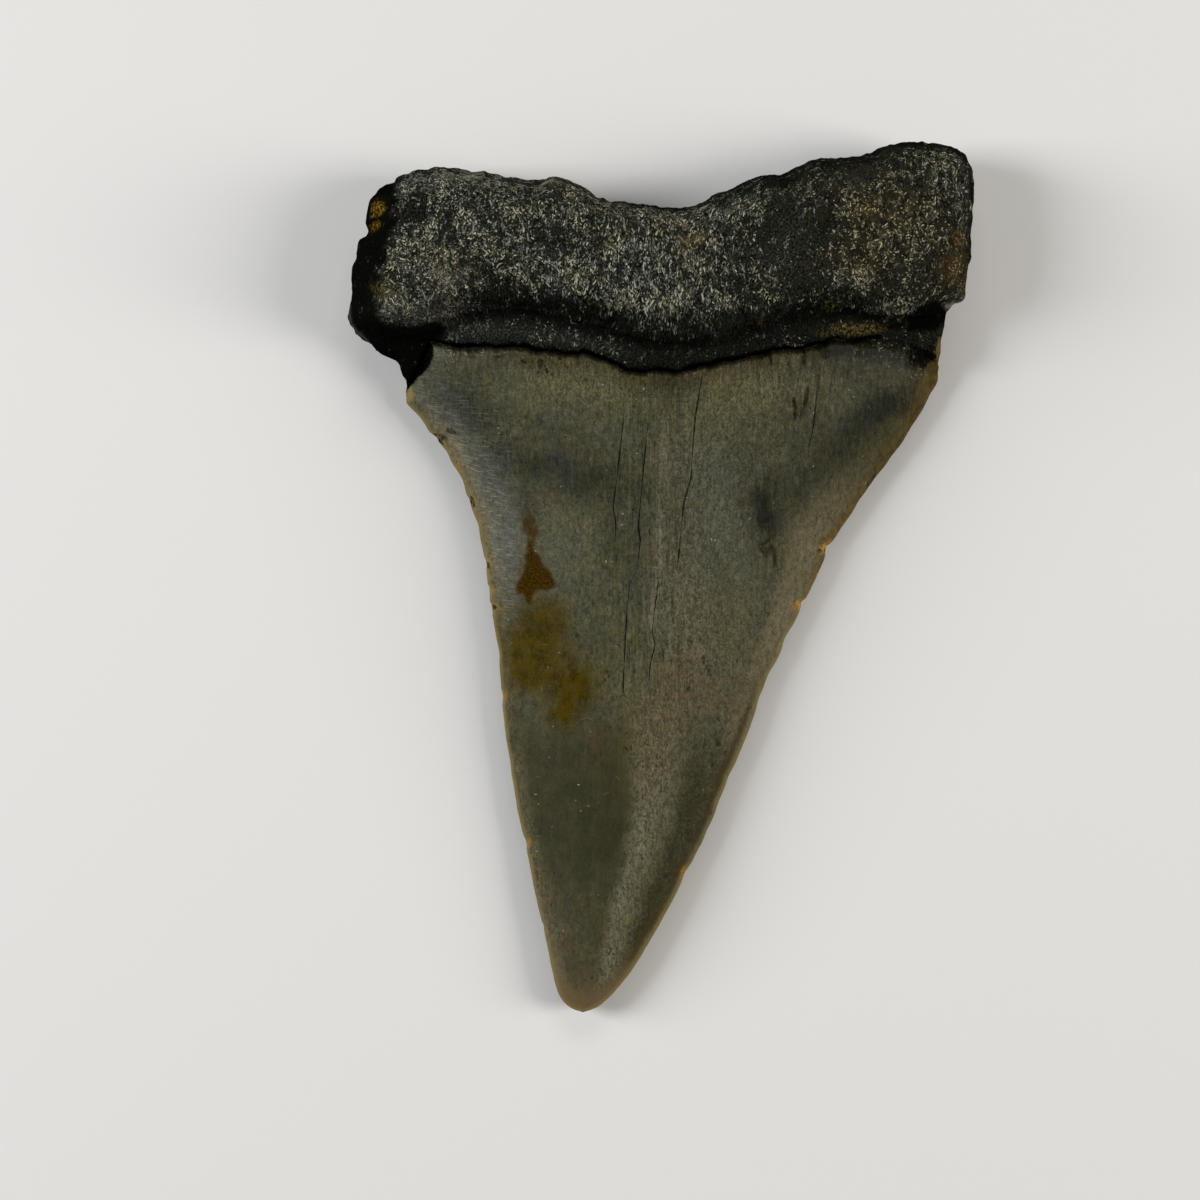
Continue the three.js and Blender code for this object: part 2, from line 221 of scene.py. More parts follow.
# =====================================================================
# the grid: rows from the root margin to the tip, columns across
# =====================================================================
# fine cracks in the enamel, as polylines; a column of the grid follows each
CRACKS = [
    # (points, depth, darkness)
    ([(-2.37, 10.46), (-2.75, 6.94), (-3.07, 4.51), (-2.88, 3.42), (-2.94, 1.89)], 0.10, 0.9),
    ([(-0.83, 10.02), (-1.15, 6.94), (-1.47, 3.23), (-1.34, 2.4), (-1.54, 0.48), (-1.98, -0.29), (-2.18, -2.02),
      (-2.3, -3.94), (-2.43, -7.14), (-2.18, -7.97)], 0.11, 1.0),
    ([(-0.13, 0.22), (-0.38, -1.7), (-0.58, -3.42), (-0.38, -4.26), (-0.7, -5.47), (-0.83, -7.14)], 0.10, 0.9),
    ([(2.62, 12.83), (2.37, 11.42), (2.11, 10.08), (1.98, 8.22), (1.86, 6.3), (1.41, 4.77), (1.22, 2.78),
      (0.96, -0.03)], 0.12, 1.0),
    ([(9.02, 13.22), (8.7, 11.74), (8.32, 10.46), (8.51, 9.89)], 0.08, 0.7),
    ([(9.98, 11.42), (9.6, 9.06), (9.47, 8.67), (9.34, 7.71)], 0.08, 0.7),
]
NC, NR_ROOT, NR_NECK, NR_LIP, NR_CROWN = 260, 92, 16, 26, 150


def row_values():
    i = np.arange(NR_ROOT) / NR_ROOT
    root = i - 0.08 * np.sin(2 * np.pi * i)                 # closer together at both ends
    i = np.arange(NR_NECK) / NR_NECK
    neck = 1 + mix(i, np.sin(i * np.pi / 2), 0.55)          # closer together at the crevice
    i = np.arange(NR_LIP) / NR_LIP
    lip = 2 + mix(i, i ** 2, 0.75)
    i = np.arange(NR_CROWN + 1) / NR_CROWN
    crown = 3 + mix(i, np.sin(i * np.pi / 2), 0.42)
    crown = 3 + (crown - 3) / (crown[-1] - 3)
    return np.concatenate([root, neck, lip, crown])


ROWS = row_values()
NR = len(ROWS) - 1
assert NR % 2 == 0 and NC % 2 == 0


def row_ends(t):
    """y of a row's two ends on the outline."""
    yl = np.where(t < 1, mix(24.99, 15.2, t), np.where(t < 2, mix(15.2, 12.19, t - 1),
         np.where(t < 3, mix(12.19, CROWN_START, t - 2), mix(CROWN_START, TIP_Y, t - 3))))
    yr = np.where(t < 1, mix(26.66, 16.99, t), np.where(t < 2, mix(16.99, 13.73, t - 1),
         np.where(t < 3, mix(13.73, CROWN_START, t - 2), mix(CROWN_START, TIP_Y, t - 3))))
    return yl, yr


def place(s, t):
    yl, yr = row_ends(t)
    x = mix(left_x(yl), right_x(yr), s)
    x0, x1, x2 = mix(-18.11, 19.9, s), mix(-18.88, 18.3, s), mix(-16.51, 18.05, s)
    y = np.where(t < 1, mix(top_y(x0), groove_y(x1), t),
        np.where(t < 2, mix(groove_y(x1), enamel_y(x2), t - 1),
        np.where(t < 3, mix(enamel_y(x2), CROWN_START, t - 2), mix(CROWN_START, TIP_Y, t - 3))))
    return x, y


def crack_columns():
    """Column positions s[row, column], bent so that a column runs down each crack."""
    j = np.arange(NC + 1)
    base = mix(j / NC, 0.5 - 0.5 * np.cos(np.pi * j / NC), 0.5)
    yl, _ = row_ends(ROWS)
    rows_y = np.where(ROWS >= 3, yl, np.nan)
    # y of each row near the middle, good enough to look a crack up by
    xm, ym = place(np.full(NR + 1, 0.5), ROWS)
    width = right_x(row_ends(ROWS)[1]) - left_x(row_ends(ROWS)[0])
    fixed = []
    for pts, depth, dark in CRACKS:
        pts = np.array(pts)
        order = np.argsort(pts[:, 1])
        py, px = pts[order, 1], pts[order, 0]
        xc = np.interp(ym, py, px)
        sc = (xc - left_x(np.clip(ym, TIP_Y, 13.7))) / np.maximum(
            right_x(np.clip(ym, TIP_Y, 13.7)) - left_x(np.clip(ym, TIP_Y, 13.7)), 1e-6)
        # in rows with a tilted or bowed line the two sides differ: use the row's own ends
        sc = np.where(ROWS >= 3, sc, (xc - left_x(row_ends(ROWS)[0])) / np.maximum(width, 1e-6))
        top, low = py.max(), py.min()
        s_top = sc[np.argmin(np.abs(ym - top))]
        s_low = sc[np.argmin(np.abs(ym - low))]
        sc = np.where(ym > top, s_top, np.where(ym < low, s_low, sc))
        fixed.append((sc, py, depth, dark))
    mean = [np.median(f[0]) for f in fixed]
    cols = [int(np.argmin(np.abs(base - m))) for m in mean]
    S = np.zeros((NR + 1, NC + 1))
    eps = np.minimum(0.045 / np.maximum(width, 1e-3), 0.0026)
    for i in range(NR + 1):
        ks, vs = [0], [0.0]
        lead = max(0, cols[0] - 40)
        ks.append(lead); vs.append(base[lead])
        for c, f in zip(cols, fixed):
            for k in (-2, -1, 0, 1, 2):
                ks.append(c + k)
                vs.append(f[0][i] + np.sign(k) * eps[i] * (1 if abs(k) == 1 else 2.2) * (k != 0))
        tail = min(NC, cols[-1] + 30)
        ks.append(tail); vs.append(base[tail])
        ks.append(NC); vs.append(1.0)
        bent = np.interp(j, ks, vs)
        low_part = (j >= lead) & (j <= tail)
        S[i] = np.where(low_part, bent, base)
    return S, cols, fixed, ym


S, CRACK_COLS, CRACK_FIX, ROW_Y = crack_columns()
assert np.all(np.diff(S, axis=1) > 0), "columns cross"
T = np.repeat(ROWS[:, None], NC + 1, axis=1)
X, Y = place(S, T)

# ---- distance to the outline --------------------------------------------
def outline_points():
    xs = np.linspace(-18.11, 19.9, 900)
    top = np.column_stack([xs, top_y(xs)])
    ys = np.linspace(26.66, TIP_Y, 1400)
    rt = np.column_stack([right_x(ys), ys])
    ys = np.linspace(TIP_Y, 24.99, 1400)
    lf = np.column_stack([left_x(ys), ys])
    return np.vstack([top, rt[1:], lf[1:]])


OUT = outline_points()
_tree = kdtree.KDTree(len(OUT))
for _i, _p in enumerate(OUT):
    _tree.insert((_p[0], _p[1], 0.0), _i)
_tree.balance()


def edge_distance(x, y):
    flat = np.column_stack([np.ravel(x), np.ravel(y)])
    idx = np.fromiter((_tree.find((float(a), float(b), 0.0))[1] for a, b in flat), dtype=np.int64,
                      count=len(flat))
    best = np.full(len(flat), np.inf)
    for step in (-1, 0):
        a = OUT[(idx + step) % len(OUT)]
        b = OUT[(idx + step + 1) % len(OUT)]
        ab = b - a
        t = np.clip(np.sum((flat - a) * ab, 1) / np.maximum(np.sum(ab * ab, 1), 1e-12), 0, 1)
        best = np.minimum(best, np.hypot(*(flat - a - ab * t[:, None]).T))
    near = OUT[idx] - flat
    return best.reshape(np.shape(x)), near


def rim(d, r):
    return np.sqrt(np.maximum(0, 1 - (1 - np.clip(d / r, 0, 1)) ** 2))


# ---- heights (the same form as the CAD solid, with sharper detail) -------
def seam(y):
    return mix(EDGE_HEIGHT, ROOT_SEAM, smooth(12.2, 17.5, y)) + TIP_LIFT * 0.7 * smooth(-12, TIP_Y, y)


def share(x, y):
    """Share of the half width: 0 on the ridge, 1 just outside the cutting edge."""
    xr, xl, xx = _ridgef(y), _edge_lf(y), _edge_rf(y)
    return np.where(x < xr, (xr - x) / (xr - xl), (x - xr) / (xx - xr))


def crown_face(x, y, d):
    u = np.clip(share(x, y), 0, 1)
    rise = CROWN_RISE * np.clip((y - TIP_Y) / 41, 0, 1.05) ** 0.75
    power = np.where(x < _ridgef(y), 2.3, 2.1)
    edge = 1 - (1 - np.clip(d / 1.3, 0, 1)) ** 2
    base = mix(seam(np.minimum(y, 14)), EDGE_HEIGHT + TIP_LIFT * 0.7 * smooth(-12, TIP_Y, y), smooth(0, 2.6, d))
    return base + rise * (1 - u ** power) * edge


def root_face(x, y):
    g = groove_y(np.clip(x, -18.88, 18.3))
    top = _topf(np.clip(x, -18.11, 19.9))
    v = np.clip((y - g) / (top - g), 0, 1)
    z = ROOT_LOBE_TOP + ROOT_CENTRE_RISE * np.exp(-((x + 0.3) / 8.5) ** 2)
    z = z - 1.2 * smooth(12, 19.5, np.abs(x))
    z = z - 3.2 * np.maximum(0, v - 0.35) ** 2
    return z - 0.8 * np.maximum(0, 0.3 - v) / 0.3


def front(x, y, d):
    a = y - groove_y(np.clip(x, -18.88, 18.3))
    b = y - enamel_y(np.clip(x, -16.51, 18.05))
    crown = crown_face(x, y, d)
    on_root = smooth(-0.05, 0.3, b)
    wall = 1.5 + 0.7 * np.exp(-((x + 5) / 6) ** 2) - 0.3 * smooth(8, 14, x)
    neck = seam(y) + (np.maximum(crown - 0.15, SHELF) - seam(y)) * rim(d, 1.3)
    bevel = 1 - (1 - np.clip(d / 1.9, 0, 1)) ** 1.35        # the -X wall meets the face in an arris
    side_form = mix(rim(d, ROOT_WALL_ROUND), bevel, smooth(-14.5, -17.0, x))
    lobe = seam(y) + (root_face(x, y) - seam(y)) * side_form
    t = np.clip(a / wall, 0, 1)
    roll = mix(t * t * (3 - 2 * t), np.sqrt(np.maximum(0, 1 - (1 - t) ** 2)), 0.6)
    z = mix(crown, neck, on_root)
    z = mix(z, np.maximum(lobe, z), roll * on_root)
    inside = smooth(0, 1.6, d)
    z = z - GROOVE_DEPTH * np.exp(-(a / 0.5) ** 2) * inside
    z = z - CREVICE_DEPTH * np.exp(-(b / 0.17) ** 2) * inside * smooth(14.6, 12.2, x)
    return z, a, b


def back(x, y, d):
    e = seam(y)
    u = np.clip(share(x, y), 0, 1)
    lift = TIP_LIFT * smooth(-13, TIP_Y, y)
    crown = mix(lift, e, np.clip((u - 0.5) / 0.47, 0, 1) ** 2)
    root = e * (1 - rim(d, ROOT_WALL_ROUND))
    return mix(crown, root, smooth(12.4, 15.5, y))


D, NEAR = edge_distance(X, Y)
NEAR = NEAR.reshape(X.shape + (2,))
ON_RIM = np.zeros(X.shape, bool)
ON_RIM[0, :] = ON_RIM[-1, :] = ON_RIM[:, 0] = ON_RIM[:, -1] = True
D = np.where(ON_RIM, 0.0, D)
ZF, A, B = front(X, Y, D)
ZB = back(X, Y, D)
ZS = seam(Y)
ZF = np.where(ON_RIM, ZS, ZF)
ZB = np.where(ON_RIM, ZS, ZB)

# =====================================================================
# one closed mesh: fine front, back at half the fineness, shared rim
# =====================================================================
front_id = np.arange((NR + 1) * (NC + 1)).reshape(NR + 1, NC + 1)
front_id[-1, :] = front_id[-1, 0]                       # the tip is one point
verts = [np.column_stack([X.ravel(), Y.ravel(), ZF.ravel()])]
side = [np.zeros(X.size)]
count = X.size
back_id = np.full(X.shape, -1, np.int64)
back_id[ON_RIM] = front_id[ON_RIM]
inner = np.zeros(X.shape, bool)
inner[2:-1:2, 2:-1:2] = True
back_id[inner] = count + np.arange(inner.sum())
verts.append(np.column_stack([X[inner], Y[inner], ZB[inner]]))
side.append(np.ones(inner.sum()))
verts = np.vstack(verts)
side = np.concatenate(side)
is_rim = np.zeros(len(verts), bool)
is_rim[front_id[ON_RIM]] = True

faces = []
for i in range(NR):
    p, q = front_id[i], front_id[i + 1]
    if i == NR - 1:
        faces += [(int(p[j]), int(q[0]), int(p[j + 1])) for j in range(NC)]
    else:
        faces += [(int(p[j]), int(q[j]), int(q[j + 1]), int(p[j + 1])) for j in range(NC)]
n_front_faces = len(faces)
for i in range(0, NR, 2):
    for j in range(0, NC, 2):
        loop = [(i, j)]
        if i == 0:
            loop.append((i, j + 1))
        loop.append((i, j + 2))
        if j + 2 == NC:
            loop.append((i + 1, j + 2))
        loop.append((i + 2, j + 2))
        if i + 2 == NR:
            pass
        loop.append((i + 2, j))
        if j == 0:
            loop.append((i + 1, j))
        ids = []
        for r, c in loop:
            k = int(back_id[r, c])
            if k not in ids:
                ids.append(k)
        if len(ids) >= 3:
            faces.append(tuple(ids))

# drop the unused copies of the tip
used = np.zeros(len(verts), bool)
for f in faces:
    used[list(f)] = True
remap = np.cumsum(used) - 1
grid_of = np.where(used)[0]
verts = verts[used]
side = side[used]
is_rim = is_rim[used]
faces = [tuple(int(remap[k]) for k in f) for f in faces]


def spread(front_grid, back_grid=None):
    """A value known on the grid, as one value per vertex."""
    back_grid = front_grid if back_grid is None else back_grid
    return np.concatenate([front_grid.ravel(), back_grid[inner]])[used]


d = spread(D)
a_mm = spread(A)
b_mm = spread(B)
near = np.column_stack([spread(NEAR[..., 0]), spread(NEAR[..., 1])])
x, y = verts[:, 0], verts[:, 1]


def vertex_normals(v):
    n = np.zeros_like(v)
    for size in (3, 4, 5, 6):
        fs = np.array([f for f in faces if len(f) == size])
        if not len(fs):
            continue
        for k in range(1, size - 1):
            c = np.cross(v[fs[:, k]] - v[fs[:, 0]], v[fs[:, k + 1]] - v[fs[:, 0]])
            for m in range(size):
                np.add.at(n, fs[:, m], c)
    return n / np.maximum(np.linalg.norm(n, axis=1), 1e-12)[:, None]


N = vertex_normals(verts)
up = 1 - side                                            # 1 on the visible side

# =====================================================================
# relief
# =====================================================================
p3 = verts.copy()
root = smooth(-0.02, 0.12, b_mm)                         # 1 on the root, 0 on enamel
back_root = smooth(13.2, 13.5, y + 0.35 * fbm(p3, 1.5, 2, 71) - 1.2 * np.exp(-(x / 9) ** 2))
root = np.where(side > 0.5, back_root, root)

# root: lumpy, grainy, with the grain running up and down in the middle
lumps = fbm(p3, 3.2, 3, 101)
grain_p = np.column_stack([p3[:, 0] / 0.30, p3[:, 1] / 0.62, p3[:, 2] / 0.45])
grain = noise(grain_p, 1.0, 113)
grain2 = fbm(p3, 0.55, 2, 127)
relief = root * (0.22 * lumps * (0.35 + 0.65 * smooth(0.3, 2.2, d)) + 0.075 * grain + 0.08 * grain2)
rs = np.random.RandomState(7)
for _ in range(230):                                     # pores
    cx, cy = rs.uniform(-19.5, 19.5), rs.uniform(13.2, 27.5)
    r, depth = rs.uniform(0.14, 0.36), rs.uniform(0.08, 0.26)
    stretch = rs.uniform(1.0, 1.9)
    q = np.hypot((x - cx), (y - cy) / stretch) / r
    m = q < 2.2
    relief[m] -= (root * depth)[m] * np.exp(-q[m] ** 2)

# hollows with a slight rim, each (x, y, rx, ry, depth), and little ridges (from, to, half width, height)
HOLLOWS = [(10.3, 22.5)+(0.62, 0.75, 0.30), (12.74, 25.31)+(1.1, 0.8, 0.22), (-15.55, 23.14)+(1.0, 0.8, 0.24), (-10.11, 18.66)+(1.3, 0.8, 0.24),
           (7.81, 20.51)+(1.1, 1.6, 0.24), (14.53, 18.08)+(1.2, 0.6, 0.26), (-12.61, 21.41)+(0.6, 1.1, 0.18), (-7.74, 19.87)+(0.9, 1.1, 0.14),
           (-3.9, 21.28)+(1.0, 0.8, 0.14), (4.74, 20.26)+(0.8, 1.2, 0.14), (16.7, 22.18)+(0.8, 0.9, 0.16), (-1.34, 18.78)+(0.8, 1.0, 0.12),
           (-17.02, 18.78)+(0.9, 0.9, 0.16), (-6.46, 23.26)+(0.9, 0.6, 0.14), (13.38, 21.02)+(0.7, 0.8, 0.14), (15.62, 25.5)+(0.8, 0.6, 0.16)]
for cx, cy, rx, ry, depth in HOLLOWS:
    q = np.sqrt(((x - cx) / rx) ** 2 + ((y - cy) / ry) ** 2) + 0.18 * noise(p3, 0.8, 171)
    relief -= root * up * depth * (np.exp(-q ** 3) - 0.35 * np.exp(-((q - 1.45) / 0.35) ** 2))
RIDGES = [((-14.66, 23.58), (-14.53, 20.45), 0.20, 0.18), ((9.28, 22.82), (9.66, 21.79), 0.2, 0.14), ((12.22, 23.9), (13.12, 22.82), 0.25, 0.16),
          ((14.85, 24.03), (15.49, 22.56), 0.25, 0.16), ((11.33, 19.87), (13.5, 20.26), 0.3, 0.12), ((-11.84, 22.18), (-10.3, 20.26), 0.3, 0.10)]
for (ax, ay), (bx, by), half, high in RIDGES:
    t = np.clip(((x - ax) * (bx - ax) + (y - ay) * (by - ay)) / ((bx - ax) ** 2 + (by - ay) ** 2), 0, 1)
    q = np.hypot(x - ax - t * (bx - ax), y - ay - t * (by - ay)) / half
    relief += root * up * high * np.exp(-q ** 2)

# enamel: long shallow waves along the crown, faint pitting
wave_p = np.column_stack([p3[:, 0] / 1.3, p3[:, 1] / 9.0, np.zeros(len(p3))])
waves = noise(wave_p, 1.0, 131)
fade = smooth(0.0, 1.2, d)
relief += (1 - root) * fade * (0.022 * waves + 0.016 * fbm(p3, 1.6, 2, 137) + 0.007 * noise(p3, 0.4, 139))

# enamel pits, each (x, y, radius, depth)
PITS = [(-7.1, -9.18)+(0.11, 0.10), (-3.52, -5.86)+(0.14, 0.08), (-5.57, -11.36)+(0.10, 0.07), (-5.38, -3.62)+(0.12, 0.07),
        (3.71, -10.66)+(0.14, 0.09), (4.22, -11.23)+(0.10, 0.07), (3.39, -12)+(0.10, 0.07), (1.22, -8.99)+(0.10, 0.06),
        (1.73, -7.07)+(0.12, 0.08), (-5.06, 5.34)+(0.10, 0.10), (-6.91, 12.9)+(0.16, 0.08), (-7.74, 13.02)+(0.14, 0.06),
        (-2.5, -11.62)+(0.09, 0.06), (2.5, -3.94)+(0.10, 0.06), (-0.06, -19.94)+(0.09, 0.05), (-4.54, -15.46)+(0.10, 0.05)]
pit_mask = np.zeros(len(verts))
for cx, cy, r, depth in PITS:
    q = np.hypot(x - cx, y - cy) / r
    g = np.exp(-q ** 2) * up
    relief -= depth * g * (1 - root)
    pit_mask = np.maximum(pit_mask, g)

# worn, nibbled enamel just under the crevice
lip = np.exp(-((b_mm + 0.45) / 0.4) ** 2) * (1 - root) * up
relief -= lip * 0.10 * (0.5 + 0.5 * fbm(p3, 0.5, 2, 151))

verts = verts + N * relief[:, None]

# cracks: grooves along their own columns
crack = np.zeros(X.shape)
cut = np.zeros(X.shape)
for c, (sc, py, depth, dark) in zip(CRACK_COLS, CRACK_FIX):
    ends = smooth(py.min() - 0.3, py.min() + 1.2, ROW_Y) * smooth(py.max() + 0.3, py.max() - 0.8, ROW_Y)
    faint = 0.55 + 0.45 * noise(np.column_stack([ROW_Y, np.full(NR + 1, c * 3.1)]), 0.9, 161 + c)
    crack[:, c] = np.maximum(crack[:, c], ends * np.clip(faint + 0.35, 0, 1) * dark)
    cut[:, c] += ends * depth * 0.6
    for k in (-1, 1):
        crack[:, c + k] = np.maximum(crack[:, c + k], ends * np.clip(faint, 0, 1) * dark * 0.75)
        cut[:, c + k] += ends * depth * 0.15
verts[:, 2] -= spread(cut, np.zeros_like(cut))
crack_v = spread(crack, np.zeros_like(crack))

# what it lies on stays flat
low = side > 0.5
verts[low, 2] = np.maximum(verts[low, 2], 0.0)
verts[:, 2] = np.maximum(verts[:, 2], 0.0)

# =====================================================================
# tone and colour fields, as soft blobs
# =====================================================================
def blob(cx, cy, rx, ry, turn=0.0, edge=0.0, grain=0.0, seed=0):
    """Soft ellipse, 1 in the middle; turn in degrees; a wavy edge if grain is given."""
    t = math.radians(turn)
    u = (x - cx) * math.cos(t) + (y - cy) * math.sin(t)
    w = -(x - cx) * math.sin(t) + (y - cy) * math.cos(t)
    q = np.sqrt((u / rx) ** 2 + (w / ry) ** 2)
    if grain:
        q = q + grain * fbm(p3, min(rx, ry) * 0.8, 3, 200 + seed)
    if edge:
        return smooth(1 + edge, 1 - edge, q)
    return np.exp(-q ** 2)


def polygon(points, soft, grain=0.0, seed=0):
    """Inside of a polygon with a soft, wavy edge."""
    pts = np.array(points)
    px = x + grain * fbm(p3, 0.5, 3, 300 + seed)
    py = y + grain * fbm(p3, 0.5, 3, 320 + seed)
    inside = np.zeros(len(x), bool)
    dist = np.full(len(x), np.inf)
    for k in range(len(pts)):
        (ax, ay), (bx, by) = pts[k], pts[(k + 1) % len(pts)]
        if ay != by:
            cross = ((ay > py) != (by > py)) & (px < (bx - ax) * (py - ay) / (by - ay) + ax)
            inside ^= cross
        dx, dy = bx - ax, by - ay
        t = np.clip(((px - ax) * dx + (py - ay) * dy) / (dx * dx + dy * dy), 0, 1)
        dist = np.minimum(dist, np.hypot(px - ax - t * dx, py - ay - t * dy))
    signed = np.where(inside, dist, -dist)
    return smooth(-soft, soft, signed)


crown_up = (1 - root) * up


def blobs(table, seed):
    """Sum of (x, y, rx, ry, turn, amount) ellipses with slightly wavy edges."""
    total = 0
    for k, ((cx, cy), rx, ry, turn, amount) in enumerate(table):
        total = total + amount * blob(cx, cy, rx, ry, turn, 0, 0.25, seed + k)
    return total


def line(points, half, seed=0):
    """1 along a polyline, falling off over half; points in mm."""
    pts = np.array(points)
    dist = np.full(len(x), np.inf)
    for (ax, ay), (bx, by) in zip(pts[:-1], pts[1:]):
        dx, dy = bx - ax, by - ay
        t = np.clip(((x - ax) * dx + (y - ay) * dy) / (dx * dx + dy * dy), 0, 1)
        dist = np.minimum(dist, np.hypot(x - ax - t * dx, y - ay - t * dy))
    return np.exp(-(dist / half) ** 2)


on_left = x < _ridgef(y)

# orange-brown stain: a small mottled spot above, a neck, a broad foot with a drip
stain = np.maximum(
    polygon([(-8.51, 2.46), (-8.19, 2.4), (-8, 1.7), (-7.68, 1.18), (-7.23, 0.61), (-6.78, 0.03), (-6.66, -0.42), (-7.17, -0.8),
             (-7.87, -0.74), (-8.26, -1.12), (-8.45, -1.82), (-8.7, -1.57), (-8.77, -1.06), (-9.28, -0.93), (-9.28, -0.48), (-9.02, 0.29),
             (-8.7, 1.18)], 0.30, 0.22, 1),
    0.70 * polygon([(-8.9, 4.26), (-8.38, 4.45), (-8, 4), (-7.94, 3.1), (-8.19, 2.4), (-8.58, 2.4), (-9.02, 3.1)],
                  0.26, 0.45, 2)) * crown_up
olive = np.clip(blobs([((-7.1, -2.4), 1.3, 1.3, 0, 0.70), ((-7.42, -4.45), 2.1, 1.9, 0, 0.85), ((-8.26, -6.5), 1.4, 1.1, 0, 0.75),
                       ((-5.63, -7.01), 1.4, 1.8, -20, 1.1), ((-6.34, -8.8), 1.1, 0.9, 0, 0.55),
                       ((-9.41, -4.06), 1.3, 2.8, 0, 0.55), ((-9.02, -0.61), 0.9, 1.8, 0, 0.26)], 340), 0, 1) * crown_up

# cool dark patches; the last ones lie along the warm edge on the right
cool = np.clip(blobs([
    ((-12.99, 11.55), 2.3, 1.35, -30, 0.70), ((-11.33, 9.63), 1.8, 1.1, -58, 0.60), ((-10.05, 7.46), 1.3, 1.4, -60, 0.40), ((-7.23, 7.07), 2.2, 1.2, 0, 0.66),
    ((-4.03, 6.3), 2.4, 1.5, 0, 0.66), ((-8.38, 7.26), 0.9, 0.8, 0, 0.25), ((-6.46, 8.86), 3.6, 1.7, 0, 0.26), ((1.86, 4.7), 1.5, 3.0, 0, 0.35),
    ((-1.34, 1.18), 1.7, 3.8, 0, 0.36), ((-3.33, -16.35), 0.9, 2.1, 0, 0.35), ((5.38, 6.94), 1.6, 2.2, 0, 0.36),
    ((14.4, 11.17), 1.35, 0.75, 22, 1.15), ((13.38, 10.27), 1.5, 1.1, 40, 0.70), ((12.22, 8.99), 1.5, 1.0, 50, 0.42), ((11.33, 7.71), 1.3, 0.9, 52, 0.40),
    ((10.05, 6.43), 1.2, 0.8, 40, 0.30), ((8.7, 5.54), 1.1, 0.95, 52, 0.62), ((6.53, 4.26), 0.50, 1.5, 8, 0.80), ((7.17, 3.23), 0.7, 0.9, 0, 0.35),
    ((7.17, 5.02), 1.6, 2.2, 0, 0.25), ((10.18, 9.5), 2.4, 2.6, 40, 0.30), ((-3.14, 2.78), 0.8, 2.0, 0, 0.4),
    ((0.58, 12.38), 2.2, 0.8, 0, 0.35), ((-0.06, 6.94), 1.0, 3.0, 0, 0.15)], 360), 0, 1) * crown_up

# cream and pinkish blotches
cream = np.clip(blobs([
    ((-4.86, 12.13), 2.9, 1.15, -4, 1.0), ((-8, 12.7), 1.7, 0.95, 0, 0.55), ((4.93, 11.68), 2.7, 1.9, 0, 1.0), ((3.52, 12.32), 1.2, 0.7, 0, 0.4), ((-1.98, 11.42), 1.6, 1.1, 0, 0.4),
    ((3.46, 11.74), 0.8, 1.0, 0, 0.3), ((8.26, 12.38), 2.2, 1.2, 0, 0.6), ((11.46, 13.02), 1.8, 0.9, 0, 0.45), ((-2.3, -7.14), 0.9, 2.2, 10, 0.5),
    ((4.74, -4.58), 1.6, 2.6, 0, 0.35)], 400), 0, 1) * crown_up
pink = np.clip(blobs([
    ((-7.36, 4.96), 1.0, 0.7, 0, 0.7), ((-6.98, -21.22), 0.9, 2.2, 12, 0.7), ((-4.35, -10.66), 0.9, 1.8, 0, 0.45),
    ((1.86, -7.14), 2.0, 2.6, 0, 0.75), ((-9.02, 13.66), 2.6, 0.5, -6, 0.45), ((-6.46, 13.86), 1.6, 0.45, -6, 0.5), ((-5.57, -23.78), 0.9, 1.6, 0, 0.45),
    ((-3.65, 13.98), 0.9, 0.35, -12, 0.5), ((4.61, -6.24), 0.7, 0.6, 0, 0.5), ((3.14, 13.22), 1.2, 0.4, 12, 0.5)], 430), 0, 1) * crown_up

# lighter, rougher ridge with a rather sharp left side low down
ridge_left = np.interp(y, [-26.98, -23.14, -20.58, -18.02, -14.18, -9.7, -7.14, -3.94, 1.18, 10.14],
                       [-4.42, -3.78, -3.2, -2.37, -1.86, -1.86, -1.73, -0.96, -0.38, -0.06])
side_of = x - ridge_left + 0.22 * fbm(p3, 1.2, 3, 401)
low_part = smooth(-4.58, -9.06, y)
pale_w = np.interp(y, [-26.98, -22.5, -18.02, -12.9, -7.78, -3.94], [1.8, 2.4, 2.9, 4.0, 4.8, 4.6])
pale = crown_up * np.clip(
    low_part * smooth(-0.10 - 0.9 * smooth(-15.46, -10.34, y), 0.70 + 0.4 * smooth(-15.46, -10.34, y), side_of) * smooth(1.0, 0.35, side_of / pale_w)
    + (1 - low_part) * 0.30 * np.exp(-((x - 1.41) / 0.5) ** 2) * smooth(-4.58, -0.74, y)
    + 0.5 * blob(*(2.18, -3.94), 2.6, 3.6, 0, 0, 0.25, 14) + 0.35 * blob(*(1.73, -1.38), 1.2, 2.4, 0, 0, 0.25, 50), 0, 1)
white_low = smooth(-10.34, -15.46, y) * smooth(0.80, 0.35, side_of / pale_w)
stripe_x = np.interp(y, [-5.22, -1.38, 2.46, 6.3, 11.42], [-0.9, -0.38, -0.06, 0.13, 0.26])
stripe = crown_up * (np.exp(-((x - stripe_x) / 0.24) ** 2) + 0.35 * np.exp(-((x - stripe_x + 0.25) / 0.6) ** 2)) \
    * smooth(-5.22, -2.02, y) * smooth(11.1, 7.58, y) * np.clip(0.75 + 0.5 * noise(p3, 1.7, 407), 0, 1)
stripe = np.clip(stripe, 0, 1)
